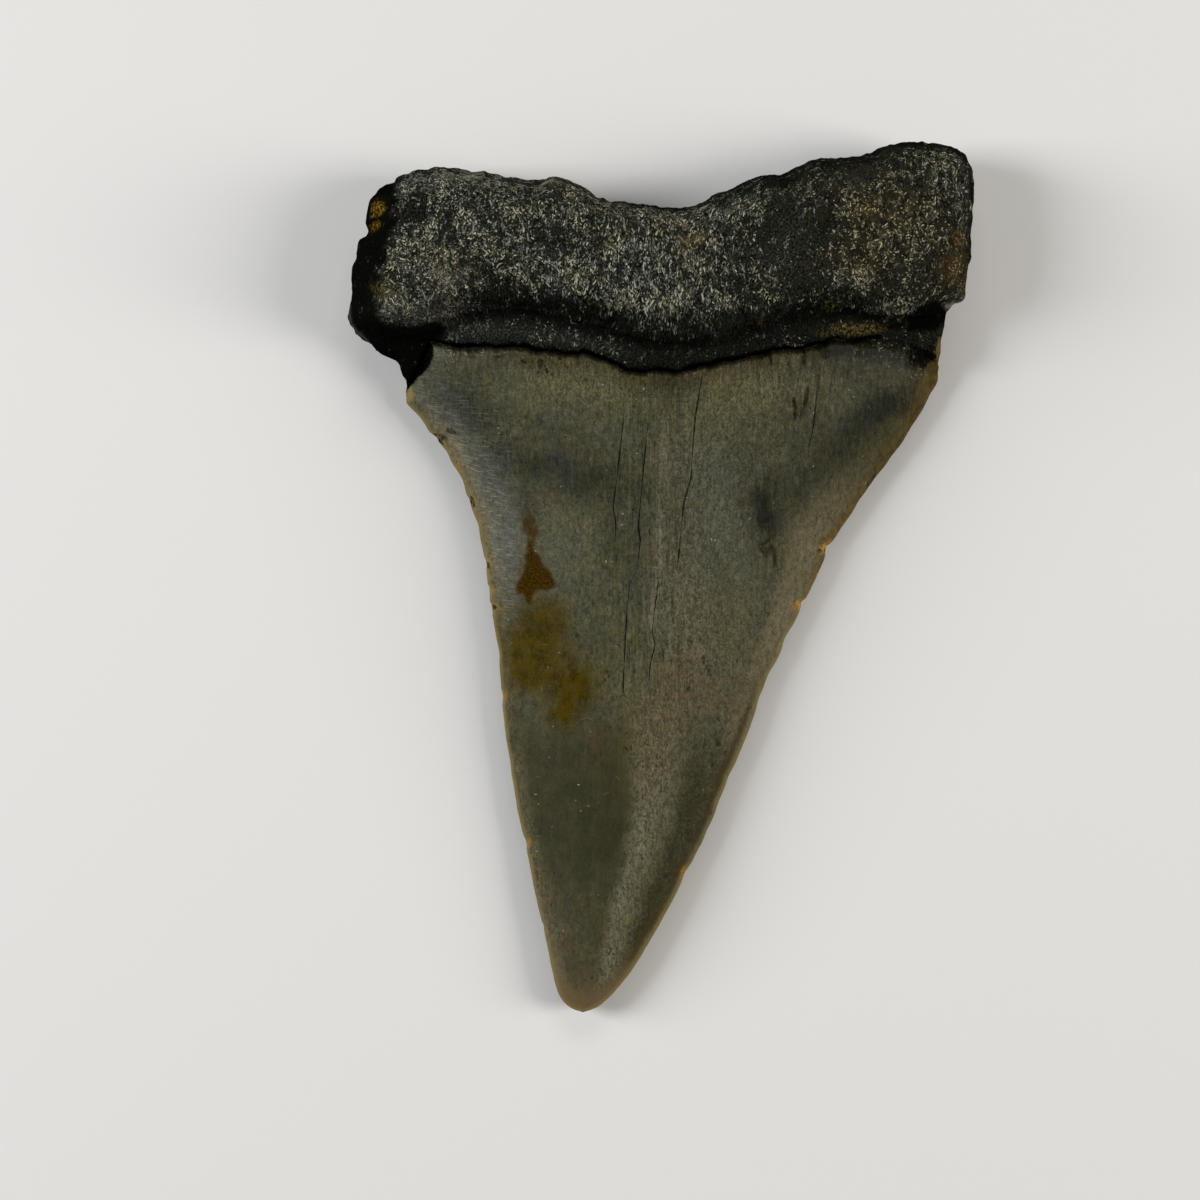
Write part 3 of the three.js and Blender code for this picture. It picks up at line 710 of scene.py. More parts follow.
silver = crown_up * np.clip(blobs([((1.86, 7.9), 1.4, 1.6, 0, 0.5), ((3.46, 6.3), 2.4, 3.2, 0, 0.75), ((2.5, 1.18), 2.0, 3.4, 0, 0.55),
                                   ((4.74, 3.1), 1.6, 2.4, 0, 0.5), ((0.9, 6.62), 0.7, 1.4, 0, 0.5), ((-2.62, 7.9), 1.2, 2.0, 0, 0.3),
                                   ((-5.82, 2.46), 2.6, 2.6, 0, 0.35), ((-5.5, 10.14), 2.4, 1.4, 0, 0.25), ((2.11, -1.06), 1.0, 3.6, 0, 1.25), ((0.19, -4.19), 0.8, 1.2, 0, 0.5), ((7.49, -0.61), 0.7, 1.0, 20, 0.5), ((0.32, -0.74), 0.9, 4.0, 0, 0.60), ((5.7, 6.69), 1.1, 0.9, 0, 1.00),
                                   ((5.82, -0.74), 0.9, 1.3, 20, 0.5)], 380), 0, 1)
khaki = crown_up * low_part * np.exp(-((side_of + 0.45) / 0.5) ** 2) * smooth(-16.1, -12.26, y)

# sheen inside the upper left edge, painted into the colour as a painted highlight, darker smooth flank below it, warm
# band inside the right edge whose brighter lower part is a painted highlight
sheen_w = mix(1.7, 3.1, smooth(-2.66, 6.3, y))
sheen_l = crown_up * on_left * smooth(0.2, 0.9, d) * smooth(sheen_w * 1.3, sheen_w * 0.6, d + 0.35 * fbm(p3, 1.0, 2, 405)) \
    * smooth(-7.78, -2.02, y) * (1 - 0.30 * smooth(10.46, 12.38, y))
hair_l = np.maximum(sheen_l, crown_up * on_left * np.clip(blobs([((-12.86, 11.3), 3.2, 1.9, -35, 1.0), ((-10.82, 8.54), 2.4, 1.6, -58, 0.7)], 580), 0, 1)
                    * smooth(0.2, 0.9, d))
# cream outer part of the painted sheen, next to the left edge
sheen_edge_l = crown_up * on_left * np.exp(-(d / mix(0.75, 1.0, smooth(-1.38, 8.22, y))) ** 2) * mix(0.55, 1.0, smooth(-7.78, 1.18, y)) \
    * np.clip(0.85 + 0.3 * noise(p3, 1.5, 409), 0, 1) * (1 - 0.45 * smooth(8.86, 11.42, y))
dark_low = crown_up * smooth(-7.14, -11.62, y) * smooth(0.35, -0.60, side_of) * smooth(0.3, 1.5, d) \
    * smooth(-26.98, -23.78, y) * mix(0.55, 1.0, smooth(-22.5, -17.38, y))
dark_r = crown_up * smooth(-8.54, -14.5, y) * smooth(0.60, 1.05, side_of / pale_w) * smooth(0.10, 0.50, d) * smooth(-26.34, -23.14, y)
# the warm band: a brighter colour low down that is a painted highlight, a darker olive tone near the top
warm_w = mix(1.5, 2.6, smooth(-3.94, 3.74, y)) * mix(1.0, 0.75, smooth(8.86, 12.7, y))
warm_r = crown_up * (~on_left) * smooth(warm_w * 1.25, warm_w * 0.8, d + 0.35 * fbm(p3, 1.3, 2, 411)) \
    * mix(0.45, 1.0, smooth(-9.06, -1.38, y)) * (0.75 + 0.25 * noise(p3, 2.5, 413)) * (1 - 0.80 * smooth(-9.7, -13.54, y))

warm_top = smooth(1.18, 9.5, y)
line_in = 0.50 + 0.14 * noise(p3, 2.6, 415)
rim_in = crown_up * (~on_left) * np.exp(-((d - line_in) / 0.20) ** 2) * smooth(-3.94, -9.06, y) * smooth(-26.98, -24.42, y) \
    * np.clip(0.55 + 0.7 * noise(p3, 1.6, 417), 0, 1)
rim_in = np.maximum(rim_in, crown_up * (~on_left) * np.exp(-((d - 0.75) / 0.3) ** 2) * 0.6 * smooth(-1.38, 2.46, y)
                    * np.clip(0.2 + 0.9 * noise(p3, 1.1, 419), 0, 1))
rim_in = np.maximum(rim_in, crown_up * blob(*(1.54, -18.72), 0.42, 0.62, -28, 0.35, 0.4, 49))

# at the right corner the speckled root material runs out over the enamel
corner = up * polygon([(11.84, 15.2), (13.76, 15.01), (15.1, 14.75), (15.94, 14.3), (16.45, 13.73), (17.09, 13.54), (17.54, 14.11),
                       (17.73, 15.26), (17.86, 16.42), (15.62, 16.16), (13.38, 15.65), (12.1, 15.39)], 0.45, 0.50, 28)
corner = np.maximum(corner, up * polygon([(-16.51, 12.13), (-16.13, 12.58), (-15.68, 12.9), (-15.17, 13.28), (-14.85, 13.73), (-14.66, 14.24), (-14.66, 14.69),
                                          (-14.78, 15.2), (-15.55, 14.62), (-16.19, 13.47), (-16.7, 12.7)], 0.10, 0.10, 37))
shoulder = up * polygon([(17.47, 15.26), (17.86, 15.52), (18.82, 15.65), (18.82, 12.96), (17.41, 12.96)], 0.14, 0.18, 34)
root_c = np.maximum(root * (1 - shoulder), corner)

# amber, see-through cutting edges, partly their own amber tint and partly a painted glow of light through the thin
# enamel: a thin pale line on the left, a browner band on the upper right
rim_w = np.where(on_left, 0.20, 0.25 + 0.40 * smooth(-2.66, 5.02, y) + 0.28 * smooth(9.5, 12.38, y))
amber = (1 - root_c) * np.exp(-(d / rim_w) ** 2.2) * np.clip(0.85 + 0.3 * noise(p3, 1.3, 421), 0, 1)
amber = np.clip(np.maximum.reduce([amber, shoulder, up * polygon([(-16.58, 12.45), (-16.13, 12.45), (-15.94, 11.68), (-16.38, 11.3)], 0.10, 0.1, 35)]), 0, 1)
amber_r = np.where(on_left, 0.0, 1.0) * smooth(-3.94, 1.18, y)
tip = (1 - root) * np.clip(smooth(-25.38, -27.62, y) + 0.8 * smooth(1.1, 0.3, d) * smooth(-22.5, -25.38, y), 0, 1)
tip_dark = crown_up * blob(*(-5.06, -25.7), 0.85, 0.8, 0, 0, 0.3, 15)
chips = np.zeros(len(x))
for table, left_side in ((CHIPS_L, True), (CHIPS_R, False)):
    for c, depth, half in table:
        if depth >= 0.1:
            ex = left_x(np.array([c]))[0] if left_side else right_x(np.array([c]))[0]
            q = np.hypot((x - ex) / 0.34, (y - c) / (half * 1.1)) + 0.3 * noise(p3, 0.3, 431)
            chips = np.maximum(chips, smooth(1.15, 0.7, q) * min(1, depth / 0.2) * (0.55 if left_side else 1))
# the two big bright chips on the right edge reach further in
chips = np.maximum(chips, polygon([(10.18, 1.89), (10.43, 2.27), (10.94, 2.4), (11.33, 2.27), (11.07, 1.76), (10.69, 1.82), (10.3, 1.57)], 0.06, 0.03, 24))
chips = np.maximum(chips, polygon([(8.51, -1.89), (8.77, -1.57), (9.28, -1.5), (9.15, -1.95), (8.9, -1.82)], 0.06, 0.03, 25))
chips *= (1 - root)
brown = np.maximum.reduce([
    polygon([(-14.66, 9.06), (-14.27, 9.38), (-13.38, 9.63), (-13.25, 9.5), (-13.82, 9.25), (-14.21, 8.8)], 0.06, 0.05, 15),
    blob(*(-10.82, -1.89), 0.28, 0.14, -10, 0.35, 0.4, 16), blob(*(-12.16, 4.96), 0.12, 0.28, 0, 0.35, 0.4, 17),
    blob(*(-11.14, 0.8), 0.10, 0.16, 0, 0.35, 0.4, 18),
    0.9 * line([(6.34, 2.02), (6.59, 1.82), (6.72, 1.57), (6.91, 1.82)], 0.16), 0.6 * line([(6.78, 2.46), (7.1, 2.08), (7.3, 1.44), (7.36, 0.8)], 0.14),
    0.6 * line([(2.62, -4.96), (2.88, -5.6), (3.2, -6.24)], 0.10), 0.5 * line([(3.39, -10.08), (3.71, -10.66)], 0.09),
    0.55 * line([(14.14, 8.1), (14.4, 7.39)], 0.07), 0.5 * line([(14.02, 6.94), (13.44, 6.05)], 0.10),
    0.5 * line([(-3.14, -5.92), (-3.65, -6.62)], 0.09), 0.75 * line([(9.02, 14.5), (9.09, 13.6)], 0.15), 0.75 * line([(9.34, 12.06), (9.15, 11.17), (8.9, 10.27)], 0.13),
    0.65 * line([(8.38, 11.42), (8.58, 10.66), (8.45, 10.08)], 0.14), 0.6 * line([(6.85, 14.24), (6.98, 13.6)], 0.16), 0.40 * line([(10.11, 13.6), (9.92, 11.94)], 0.13),
    0.7 * line([(5.12, 14.3), (5.57, 14.05)], 0.15), 0.25 * line([(5.12, 13.22), (4.8, 11.55)], 0.13), 0.25 * line([(6.21, 13.86), (6.08, 12.19)], 0.13),
    0.35 * line([(8, 14.5), (8.13, 12.45)], 0.14), 0.35 * line([(11.07, 13.47), (10.75, 11.74)], 0.14), 0.35 * line([(12.03, 13.73), (11.78, 12.19)], 0.14),
    0.30 * line([(9.66, 14.5), (9.86, 12.83), (9.6, 11.42)], 0.16), 0.30 * line([(7.36, 14.24), (7.55, 12.06)], 0.14), 0.25 * line([(3.9, 13.22), (4.03, 11.3)], 0.14),
    0.30 * line([(12.86, 14.62), (12.74, 13.09)], 0.18), 0.45 * line([(13.82, 14.5), (13.63, 13.73)], 0.20), 0.30 * line([(14.85, 14.37), (14.27, 12.9)], 0.14),
    0.40 * line([(16.06, 14.62), (16.26, 13.73)], 0.22), 0.7 * line([(10.18, 1.76), (10.56, 1.89), (10.94, 1.76), (11.26, 2.08)], 0.09), 0.6 * line([(8.45, -1.95), (8.9, -1.95), (9.22, -2.08)], 0.09), 0.5 * line([(11.33, 14.5), (11.2, 13.86)], 0.15), 0.35 * line([(6.98, 6.94), (6.59, 5.79), (6.72, 4.26)], 0.22),
    0.3 * line([(6.21, 5.92), (6.08, 4.26), (6.4, 3.23)], 0.20), 0.3 * line([(7.36, 6.43), (7.23, 5.02)], 0.18),
    0.7 * blob(*(-7.68, 13.6), 0.22, 0.30, 0, 0.4, 0.3, 52), 0.7 * blob(*(-8.7, 13.79), 0.20, 0.16, 0, 0.4, 0.3, 53), 0.6 * blob(*(-6.46, 13.92), 0.24, 0.12, 0, 0.4, 0.3, 54),
    0.5 * blob(*(-4.8, 12.45), 0.18, 0.14, 0, 0.4, 0.3, 55), 0.6 * blob(*(-7.23, 13.09), 0.14, 0.20, 0, 0.4, 0.3, 56), 0.5 * blob(*(-10.5, 14.11), 0.3, 0.12, 0, 0.4, 0.3, 57)]) * crown_up

# worn strip, dirt and dark specks under the crevice
strip = crown_up * np.exp(-((b_mm + 0.5) / 0.45) ** 2) * smooth(-13.18, -10.3, x) * smooth(12.74, 6.34, x)
dirt = crown_up * np.exp(-np.abs(b_mm + 0.05) / 0.52) * np.clip(0.55 + 0.6 * fbm(p3, 0.5, 3, 441), 0, 1)
dirt = np.maximum(dirt, crown_up * 0.7 * blob(*(-7.55, 13.79), 1.4, 0.5, -5, 0, 0.4, 26))
dirt = np.maximum(dirt, crown_up * 0.5 * blob(*(0.7, 12.58), 1.8, 0.6, 0, 0, 0.4, 27))
dirt = np.clip(dirt, 0, 1)
hang = np.interp(x, [-14.78, -10.3, -7.42, -3.9, -0.7, 2.5, 4.74, 7.3, 9.54, 12.1, 16.9],
                 [0.8, 1.8, 2.0, 1.5, 1.8, 1.1, 1.9, 2.8, 3.2, 3.0, 2.6])
grime = crown_up * np.clip(np.exp(b_mm / hang) * (0.75 + 0.35 * fbm(p3, 1.2, 3, 445)), 0, 1) * smooth(0.3, 1.4, d)

shade = np.clip(crown_up * blobs([
    ((14.02, 12.19), 2.6, 1.4, -30, 0.60), ((16.26, 11.55), 0.9, 1.3, 25, 0.60), ((11.33, 13.34), 1.7, 0.7, 0, 0.40), ((-13.63, 13.73), 2.0, 0.8, -8, 0.42),
    ((-9.98, 13.86), 2.0, 0.6, -4, 0.45), ((11.33, 8.74), 2.2, 1.3, 42, 0.34), ((8.9, 6.94), 1.5, 1.6, 0, 0.30), ((6.98, 3.62), 1.1, 2.5, 6, 0.60),
    ((5.57, 4.7), 1.2, 2.6, 0, 0.36), ((3.78, 0.54), 1.0, 2.6, 0, 0.22), ((-8.7, 4.7), 1.1, 1.5, 0, 0.32), ((6.66, -0.1), 1.2, 1.3, 0, 0.22),
    ((-9.54, -10.02), 0.6, 2.6, 0, 0.42), ((-8.19, -15.78), 0.8, 3.6, 8, 0.26), ((3.78, -12.13), 0.7, 2.2, 25, 0.18), ((2.05, -16.22), 0.7, 2.2, 27, 0.22),
    ((0.7, -19.62), 0.5, 1.6, 28, 0.18), ((-3.9, 6.18), 2.0, 1.2, 0, 0.30), ((-6.72, 5.15), 2.6, 0.9, 0, 0.34), ((-7.23, 9.38), 2.2, 0.7, 0, 0.16),
    ((8.26, 10.14), 1.3, 1.6, 0, 0.16), ((-1.34, 4.7), 0.9, 3.0, 0, 0.12), ((14.02, 9.82), 1.2, 1.0, 45, 0.25)], 620), 0, 1)
shade = np.maximum(shade, 0.84 * crown_up * polygon([(8.9, 15.39), (12.1, 16.42), (15.62, 16.54), (18.18, 15.9), (17.73, 13.73), (15.94, 13.22), (14.02, 13.34),
                                                     (12.1, 13.6), (9.86, 13.73)], 0.70, 0.6, 58))
# fine upright growth lines, dark specks, sandpaper grain
lines = crown_up * np.exp(-((x - -0.38) / 3.4) ** 2) * smooth(-9.06, -5.22, y)
lines = np.clip(lines + 0.8 * crown_up * blob(*(8.26, 11.74), 4.4, 3.4, 0, 0, 0.2, 29) + 0.35 * crown_up * blob(*(1.86, -7.78), 3.0, 7.0, 0, 0, 0.2, 59)
                + 0.3 * crown_up * blob(*(-3.9, 10.14), 3.0, 3.0, 0, 0, 0.2, 60), 0, 1)
speck = np.clip(crown_up * (0.16 + 0.6 * blob(*(1.86, -10.02), 3.0, 3.6, 0, 0, 0.2, 30) + 0.6 * blob(*(7.3, 11.42), 3.4, 2.6, 0, 0, 0.2, 31)
                            + 0.5 * blob(*(-7.42, 13.66), 3.0, 0.8, 0, 0, 0.2, 32) + 0.2 * blob(*(-1.02, -17.38), 1.5, 4.0, 0, 0, 0.2, 33)), 0, 1)
grain_v = np.clip(crown_up * (0.20 + 0.55 * pale + 0.50 * cream + 0.45 * silver + 0.30 * stripe + 0.45 * grime
                              + 0.45 * blob(*(6.98, 11.42), 3.6, 3.2, 0, 0, 0.2, 36) - 0.10 * dark_low), 0, 0.95)

fringe = crown_up * np.clip(blobs([((-13.76, 14.69), 1.0, 0.7, -25, 0.8), ((-11.84, 14.56), 0.9, 0.4, -10, 0.7), ((-14.4, 15.07), 0.4, 0.5, 0, 0.9),
                                   ((14.78, 14.62), 2.0, 0.7, -6, 0.34), ((16.9, 13.22), 0.7, 0.5, 0, 0.4), ((-3.58, 13.86), 0.7, 0.4, 0, 0.6),
                                   ((-6.46, 14.18), 1.4, 0.3, -6, 0.25), ((5.06, 14.11), 2.4, 0.5, 12, 0.30), ((-1.34, 13.28), 1.0, 0.3, 0, 0.4)], 570), 0, 1)
# tiny white glints painted into the colour: painted highlights
GLINTS = [(-4.93, 5.28), (-6.02, 0.93), (-1.6, 11.42), (1.54, 5.41), (-1.02, 11.94), (-4.54, -9.89), (-4.35, -10.34), (-4.48, -12.13), (-6.02, -12.51),
          (-5.57, -14.69), (-5.38, -14.94), (-2.37, -15.39), (-14.14, 14.75), (-13.7, 14.43), (-12.16, 14.37), (-11.9, 14.69), (-10.11, 14.5), (-8.96, 14.3),
          (-1.34, 13.41), (7.68, 8.22), (8.26, 7.78), (9.66, 7.65), (9.15, 6.82), (12.16, 12), (12.54, 8.8), (3.14, 2.46), (4.61, 0.35),
          (-10.5, 9.25), (-7.68, 10.14), (0.51, 9.5), (-1.34, 7.9), (-8.32, -17.44), (-9.79, -8.1), (-2.62, -22.18), (-3.52, 1.18)]
glint = np.zeros(len(x))
for k, (cx, cy) in enumerate(GLINTS):
    glint = np.maximum(glint, (0.24 if cy > -1.38 else 0.12) * smooth(0.55, 0.30, np.hypot(x - cx, y - cy)))
glint = np.maximum(glint, 0.012) * crown_up

# ---- root tone: where the pale needles are dense, and where it is nearly black; one blob also darkens the root just above the groove as painted shade under the bulge
lit = 0.52 + 0.15 * fbm(p3, 3.2, 3, 455) + 0.12 * fbm(p3, 1.1, 2, 457)
lit += blobs([
    ((-14.78, 20.06), 3.2, 2.6, 0, 0.26), ((-11.58, 25.31), 5.5, 1.3, 0, 0.18), ((-15.55, 23.14), 1.6, 1.0, 0, -0.22),
    ((-13.38, 21.66), 1.1, 1.2, 0, -0.16), ((-0.06, 20.26), 6.4, 3.2, 0, 0.24), ((-10.11, 18.78), 2.0, 1.1, 0, -0.28),
    ((8.26, 21.66), 1.7, 3.0, 0, -0.20), ((10.3, 22.5), 0.7, 1.0, 0, -0.24), ((12.74, 25.31), 1.5, 1.0, 0, -0.20),
    ((14.53, 18.21), 1.8, 0.8, 0, -0.26), ((12.48, 23.46), 0.9, 1.0, 0, 0.22), ((15.3, 23.33), 0.8, 1.1, 0, 0.22),
    ((12.29, 19.81), 1.4, 0.8, 20, 0.22), ((18.18, 24.22), 2.0, 3.0, 0, 0.16), ((15.62, 21.02), 2.0, 1.4, 0, 0.14),
    ((11.78, 21.66), 1.0, 1.4, 0, 0.08), ((-16.06, 16.93), 1.6, 0.6, 0, -0.10), ((4.74, 23.26), 1.3, 1.2, 0, 0.12)], 470)
lit -= 0.07 * smooth(3.78, 7.62, x)
lit += 0.45 * line([(-14.66, 23.58), (-14.53, 20.45)], 0.17)
lit += blobs([
    ((-8.38, 18.98), 2.0, 1.3, 0, 0.20), ((-11.58, 22.62), 1.2, 0.9, 0, 0.24), ((-10.94, 24.54), 1.6, 0.8, 0, 0.12), ((-5.5, 24.54), 1.2, 0.6, 0, 0.20),
    ((11.84, 18.98), 1.5, 0.8, 0, 0.30), ((14.34, 17.06), 1.7, 0.5, 0, 0.26), ((6.34, 24.86), 1.5, 0.7, 0, 0.14), ((-13.5, 19.1), 1.6, 1.0, 0, 0.15),
    ((3.78, 22.82), 1.0, 0.6, 0, 0.13), ((9.86, 23.2), 1.1, 0.8, 0, 0.12), ((15.94, 20.9), 1.2, 0.8, 0, 0.13), ((-15.1, 22.94), 0.9, 0.9, 0, -0.13),
    ((6.02, 20.26), 1.6, 1.6, 0, -0.12), ((-17.02, 18.78), 0.9, 0.9, 0, -0.12), ((17.54, 22.82), 0.8, 0.8, 0, -0.16), ((-3.58, 21.02), 1.6, 0.8, 0, -0.09),
    ((-0.38, 21.66), 1.0, 1.0, 0, -0.10), ((3.9, 18.78), 1.2, 0.8, 0, -0.15), ((-5.7, 19.23), 1.3, 1.0, 0, 0.20), ((15.62, 14.69), 1.6, 0.8, 0, 0.30),
    ((-3.26, 17.95), 1.8, 0.6, -10, 0.15), ((1.86, 17.06), 2.2, 0.6, 8, 0.14)], 600)
lit += blobs([((8.26, 21.02), 3.0, 3.0, 0, -0.14), ((-6.46, 20.26), 2.6, 2.2, 0, -0.08), ((-2.62, 23.26), 2.2, 1.0, 0, 0.10)], 490)
# painted shadow under the root's bulge, just above the groove
shadow = np.clip(blobs([((-8.06, 17.31), 2.3, 0.50, -4, 0.9), ((-4.67, 16.67), 1.8, 0.50, -16, 0.9), ((-10.5, 17.63), 1.4, 0.40, 0, 0.6),
                        ((-3.14, 16.03), 1.6, 0.6, -20, 0.8), ((6.98, 16.48), 2.2, 0.5, 14, 0.85), ((4.1, 15.71), 2.2, 0.55, 14, 0.85),
                        ((-0.32, 14.94), 1.3, 0.45, 0, 0.8), ((10.18, 16.99), 1.8, 0.35, 4, 0.7)], 500), 0, 1) * smooth(-0.9, 0.1, a_mm)
lit -= 0.25 * smooth(0.3, -0.3, a_mm)                                            # neck band
lit += 0.22 * smooth(0.3, -0.3, a_mm) * (blob(*(-11.9, 15.9), 3.2, 0.8, -4) + blob(*(-3.9, 14.94), 2.6, 0.6, -14))
# painted shade along the groove under the root's bulge
groove_shade = np.exp(-((a_mm + 0.05) / 0.30) ** 2) * np.clip(0.75 + 0.9 * fbm(p3, 0.9, 2, 459), 0, 1) * smooth(-14.14, -11.58, x) * smooth(16.26, 13.38, x)
# the -X wall is black, with the lit face starting at an arris
dark_wall_and_shade = polygon([(-17.22, 26.78), (-17.28, 25.38), (-16.7, 24.35), (-16.77, 23.33), (-16.96, 22.18), (-17.34, 20.9), (-17.73, 19.87), (-18.11, 18.78), (-18.11, 17.57),
                     (-17.73, 16.42), (-16.83, 16.03), (-18.88, 14.62), (-21.18, 15.9), (-20.54, 21.02), (-19.9, 24.86), (-18.3, 26.46)], 0.30, 0.50, 20) * up
# painted shade on the rounded top margin of the root
dark_wall_and_shade = np.maximum(dark_wall_and_shade, smooth(1.5, 0.6, d + 0.35 * fbm(p3, 0.8, 2, 463)) * smooth(1.86, 4.42, x)
                       * smooth(15.3, 12.1, x) * (y > 20) * 0.46)
dark_wall_and_shade = np.maximum(dark_wall_and_shade, 0.7 * smooth(0.7, 0.15, d + 0.3 * fbm(p3, 0.7, 2, 467)) * (y > 20)
                       * (1 - 0.65 * smooth(-1.34, -4.54, x) * smooth(-17.22, -16.58, x)))
# painted shade under the left lobe, at the root's lower left corner
dark_wall_and_shade = np.maximum(dark_wall_and_shade, polygon([(-18.88, 15.52), (-17.98, 16.1), (-16.38, 16.03), (-15.17, 16.22), (-14.08, 16.29), (-13.82, 15.71), (-14.34, 15.26), (-14.59, 14.62),
                                           (-14.78, 13.6), (-15.55, 12.7), (-16.45, 11.81), (-16.96, 12.38), (-18.5, 14.5)], 0.18, 0.30, 21))
# painted shadow under the right lobe, with a thin line of it running left
dark_wall_and_shade = np.maximum(dark_wall_and_shade, polygon([(15.81, 16.74), (16.58, 17.25), (17.6, 17.57), (18.43, 17.12), (18.37, 16.42), (17.73, 15.97),
                                           (16.7, 15.9), (15.81, 16.16)], 0.14, 0.20, 22))
dark_wall_and_shade = np.maximum(dark_wall_and_shade, 0.85 * line([(14.02, 16.1), (15.04, 16.35), (16.06, 16.54)], 0.16))
dark_wall_and_shade = np.maximum(dark_wall_and_shade, 0.80 * up * blob(*(16.9, 14.18), 0.85, 0.62, 20, 0.4, 0.6, 51))
# painted shadow under the root's bulge, and painted shade in the groove
dark_wall_and_shade = np.maximum(dark_wall_and_shade, 0.74 * shadow * np.clip(0.85 + 0.5 * fbm(p3, 0.7, 2, 473), 0, 1.1))
dark_wall_and_shade = np.clip(np.maximum(dark_wall_and_shade, 0.9 * groove_shade), 0, 1) * np.where(side > 0.5, 0.35, 1.0)
# the crevice between root and enamel, painted near black: painted shade in the gap
crev_half = 0.17 + 0.05 * noise(p3, 0.7, 469)
crevice = np.exp(-((b_mm - 0.06) / crev_half) ** 2) * smooth(12.74, 10.56, x) * smooth(-15.1, -14.4, x) * up
crevice = np.maximum(crevice, up * 0.9 * line([(11.97, 15.2), (13.12, 15.39), (14.02, 15.52)], 0.16))
lit += blobs([((-15.1, 25.82), 1.6, 1.2, 0, 0.14), ((-12.22, 26.02), 2.4, 0.5, 0, 0.16), ((-9.34, 25.38), 2.0, 0.5, 0, 0.14), ((2.5, 22.62), 1.4, 0.8, 0, 0.16),
              ((4.1, 23.9), 1.2, 0.6, 0, 0.18), ((13.25, 18.46), 1.4, 0.9, 0, 0.18), ((11.78, 24.54), 1.4, 0.7, 0, 0.14), ((13.38, 16.86), 1.6, 0.5, 0, 0.20),
              ((15.62, 15.9), 1.6, 0.5, 0, 0.20), ((-6.14, 17.82), 1.4, 0.6, 0, 0.16), ((-9.34, 19.62), 1.4, 0.7, 0, 0.12), ((-3.14, 18.78), 1.4, 0.8, 0, -0.14),
              ((17.22, 21.02), 0.9, 0.9, 0, -0.12), ((6.98, 18.78), 1.6, 0.8, 0, -0.12), ((16.26, 26.46), 1.2, 0.8, 0, -0.06), ((-17.02, 22.62), 0.8, 0.9, 0, -0.12)], 610)
lit += blobs([((0.19, 20.77), 0.9, 0.9, 0, -0.13), ((0.45, 18.78), 1.1, 0.9, 0, -0.14), ((2.18, 18.78), 1.0, 0.8, 0, -0.08), ((-17.22, 18.85), 0.9, 0.9, 0, -0.14),
              ((-15.17, 22.69), 0.9, 0.9, 0, -0.11), ((11.78, 24.74), 1.6, 0.8, 0, -0.11), ((17.47, 22.56), 0.9, 0.9, 0, -0.16), ((17.47, 20.77), 0.9, 0.8, 0, -0.10),
              ((-7.42, 24.61), 1.1, 0.8, 0, 0.15), ((4.29, 24.22), 1.3, 0.9, 0, 0.14), ((5.95, 22.82), 1.0, 0.9, 0, 0.16), ((9.86, 22.82), 1.0, 0.9, 0, 0.16),
              ((10.94, 18.85), 1.8, 0.9, 0, 0.15), ((15.55, 18.85), 1.1, 0.9, 0, 0.16), ((-1.73, 17.06), 1.2, 0.8, 0, 0.15), ((14.66, 17.06), 1.9, 0.7, 0, 0.18)], 611)
lit = np.clip(lit, 0.02, 1)
tan = np.clip(blobs([
    ((14.02, 22.62), 4.5, 4.2, 0, 0.5), ((18.82, 19.74), 1.6, 2.2, 0, 0.6), ((12.61, 23.46), 1.0, 1.1, 0, 0.4), ((15.3, 23.33), 0.9, 1.2, 0, 0.4),
    ((12.29, 19.81), 1.5, 0.9, 0, 0.45), ((1.86, 20.9), 1.0, 0.9, 0, 0.5), ((-13.82, 19.62), 2.4, 1.2, 0, 0.35),
    ((-6.46, 24.86), 2.4, 1.0, 0, 0.3), ((-1.34, 22.3), 3.0, 1.2, 0, 0.25), ((12.74, 15.84), 2.2, 0.7, 0, 0.5)], 520), 0, 1)
gold = np.clip(np.maximum.reduce([
    0.9 * blob(*(-18.05, 23.58), 0.42, 0.46, 20, 0.5, 1.0, 40), 0.7 * blob(*(-18.3, 22.43), 0.40, 0.30, 0, 0.5, 1.0, 41),
    0.45 * blob(*(18.75, 21.47), 0.36, 0.50, 0, 0.6, 0.9, 43), 0.12 * blob(*(18.5, 19.62), 0.7, 0.9, 0, 0.6, 0.9, 44)]), 0, 1)
gold2 = np.clip(np.maximum.reduce([
    0.7 * blob(*(-17.47, 18.21), 0.75, 0.55, 0, 0.5, 0.6, 42), 0.9 * blob(*(10.75, 17.31), 0.55, 0.24, 8, 0.5, 0.5, 45),
    0.9 * blob(*(12.29, 15.84), 1.9, 0.42, 4, 0.5, 0.5, 46), 0.65 * blob(*(1.86, 20.9), 0.6, 0.6, 0, 0.5, 0.7, 47),
    0.5 * blob(*(6.34, 16.29), 0.22, 0.36, 0, 0.4, 0.5, 48)]), 0, 1)
rust = np.clip(blobs([((18.5, 19.62), 0.9, 1.1, 0, 0.55), ((19.26, 18.78), 0.5, 0.6, 0, 0.4), ((-17.98, 23.9), 0.5, 0.4, 0, 0.5)], 540), 0, 1)
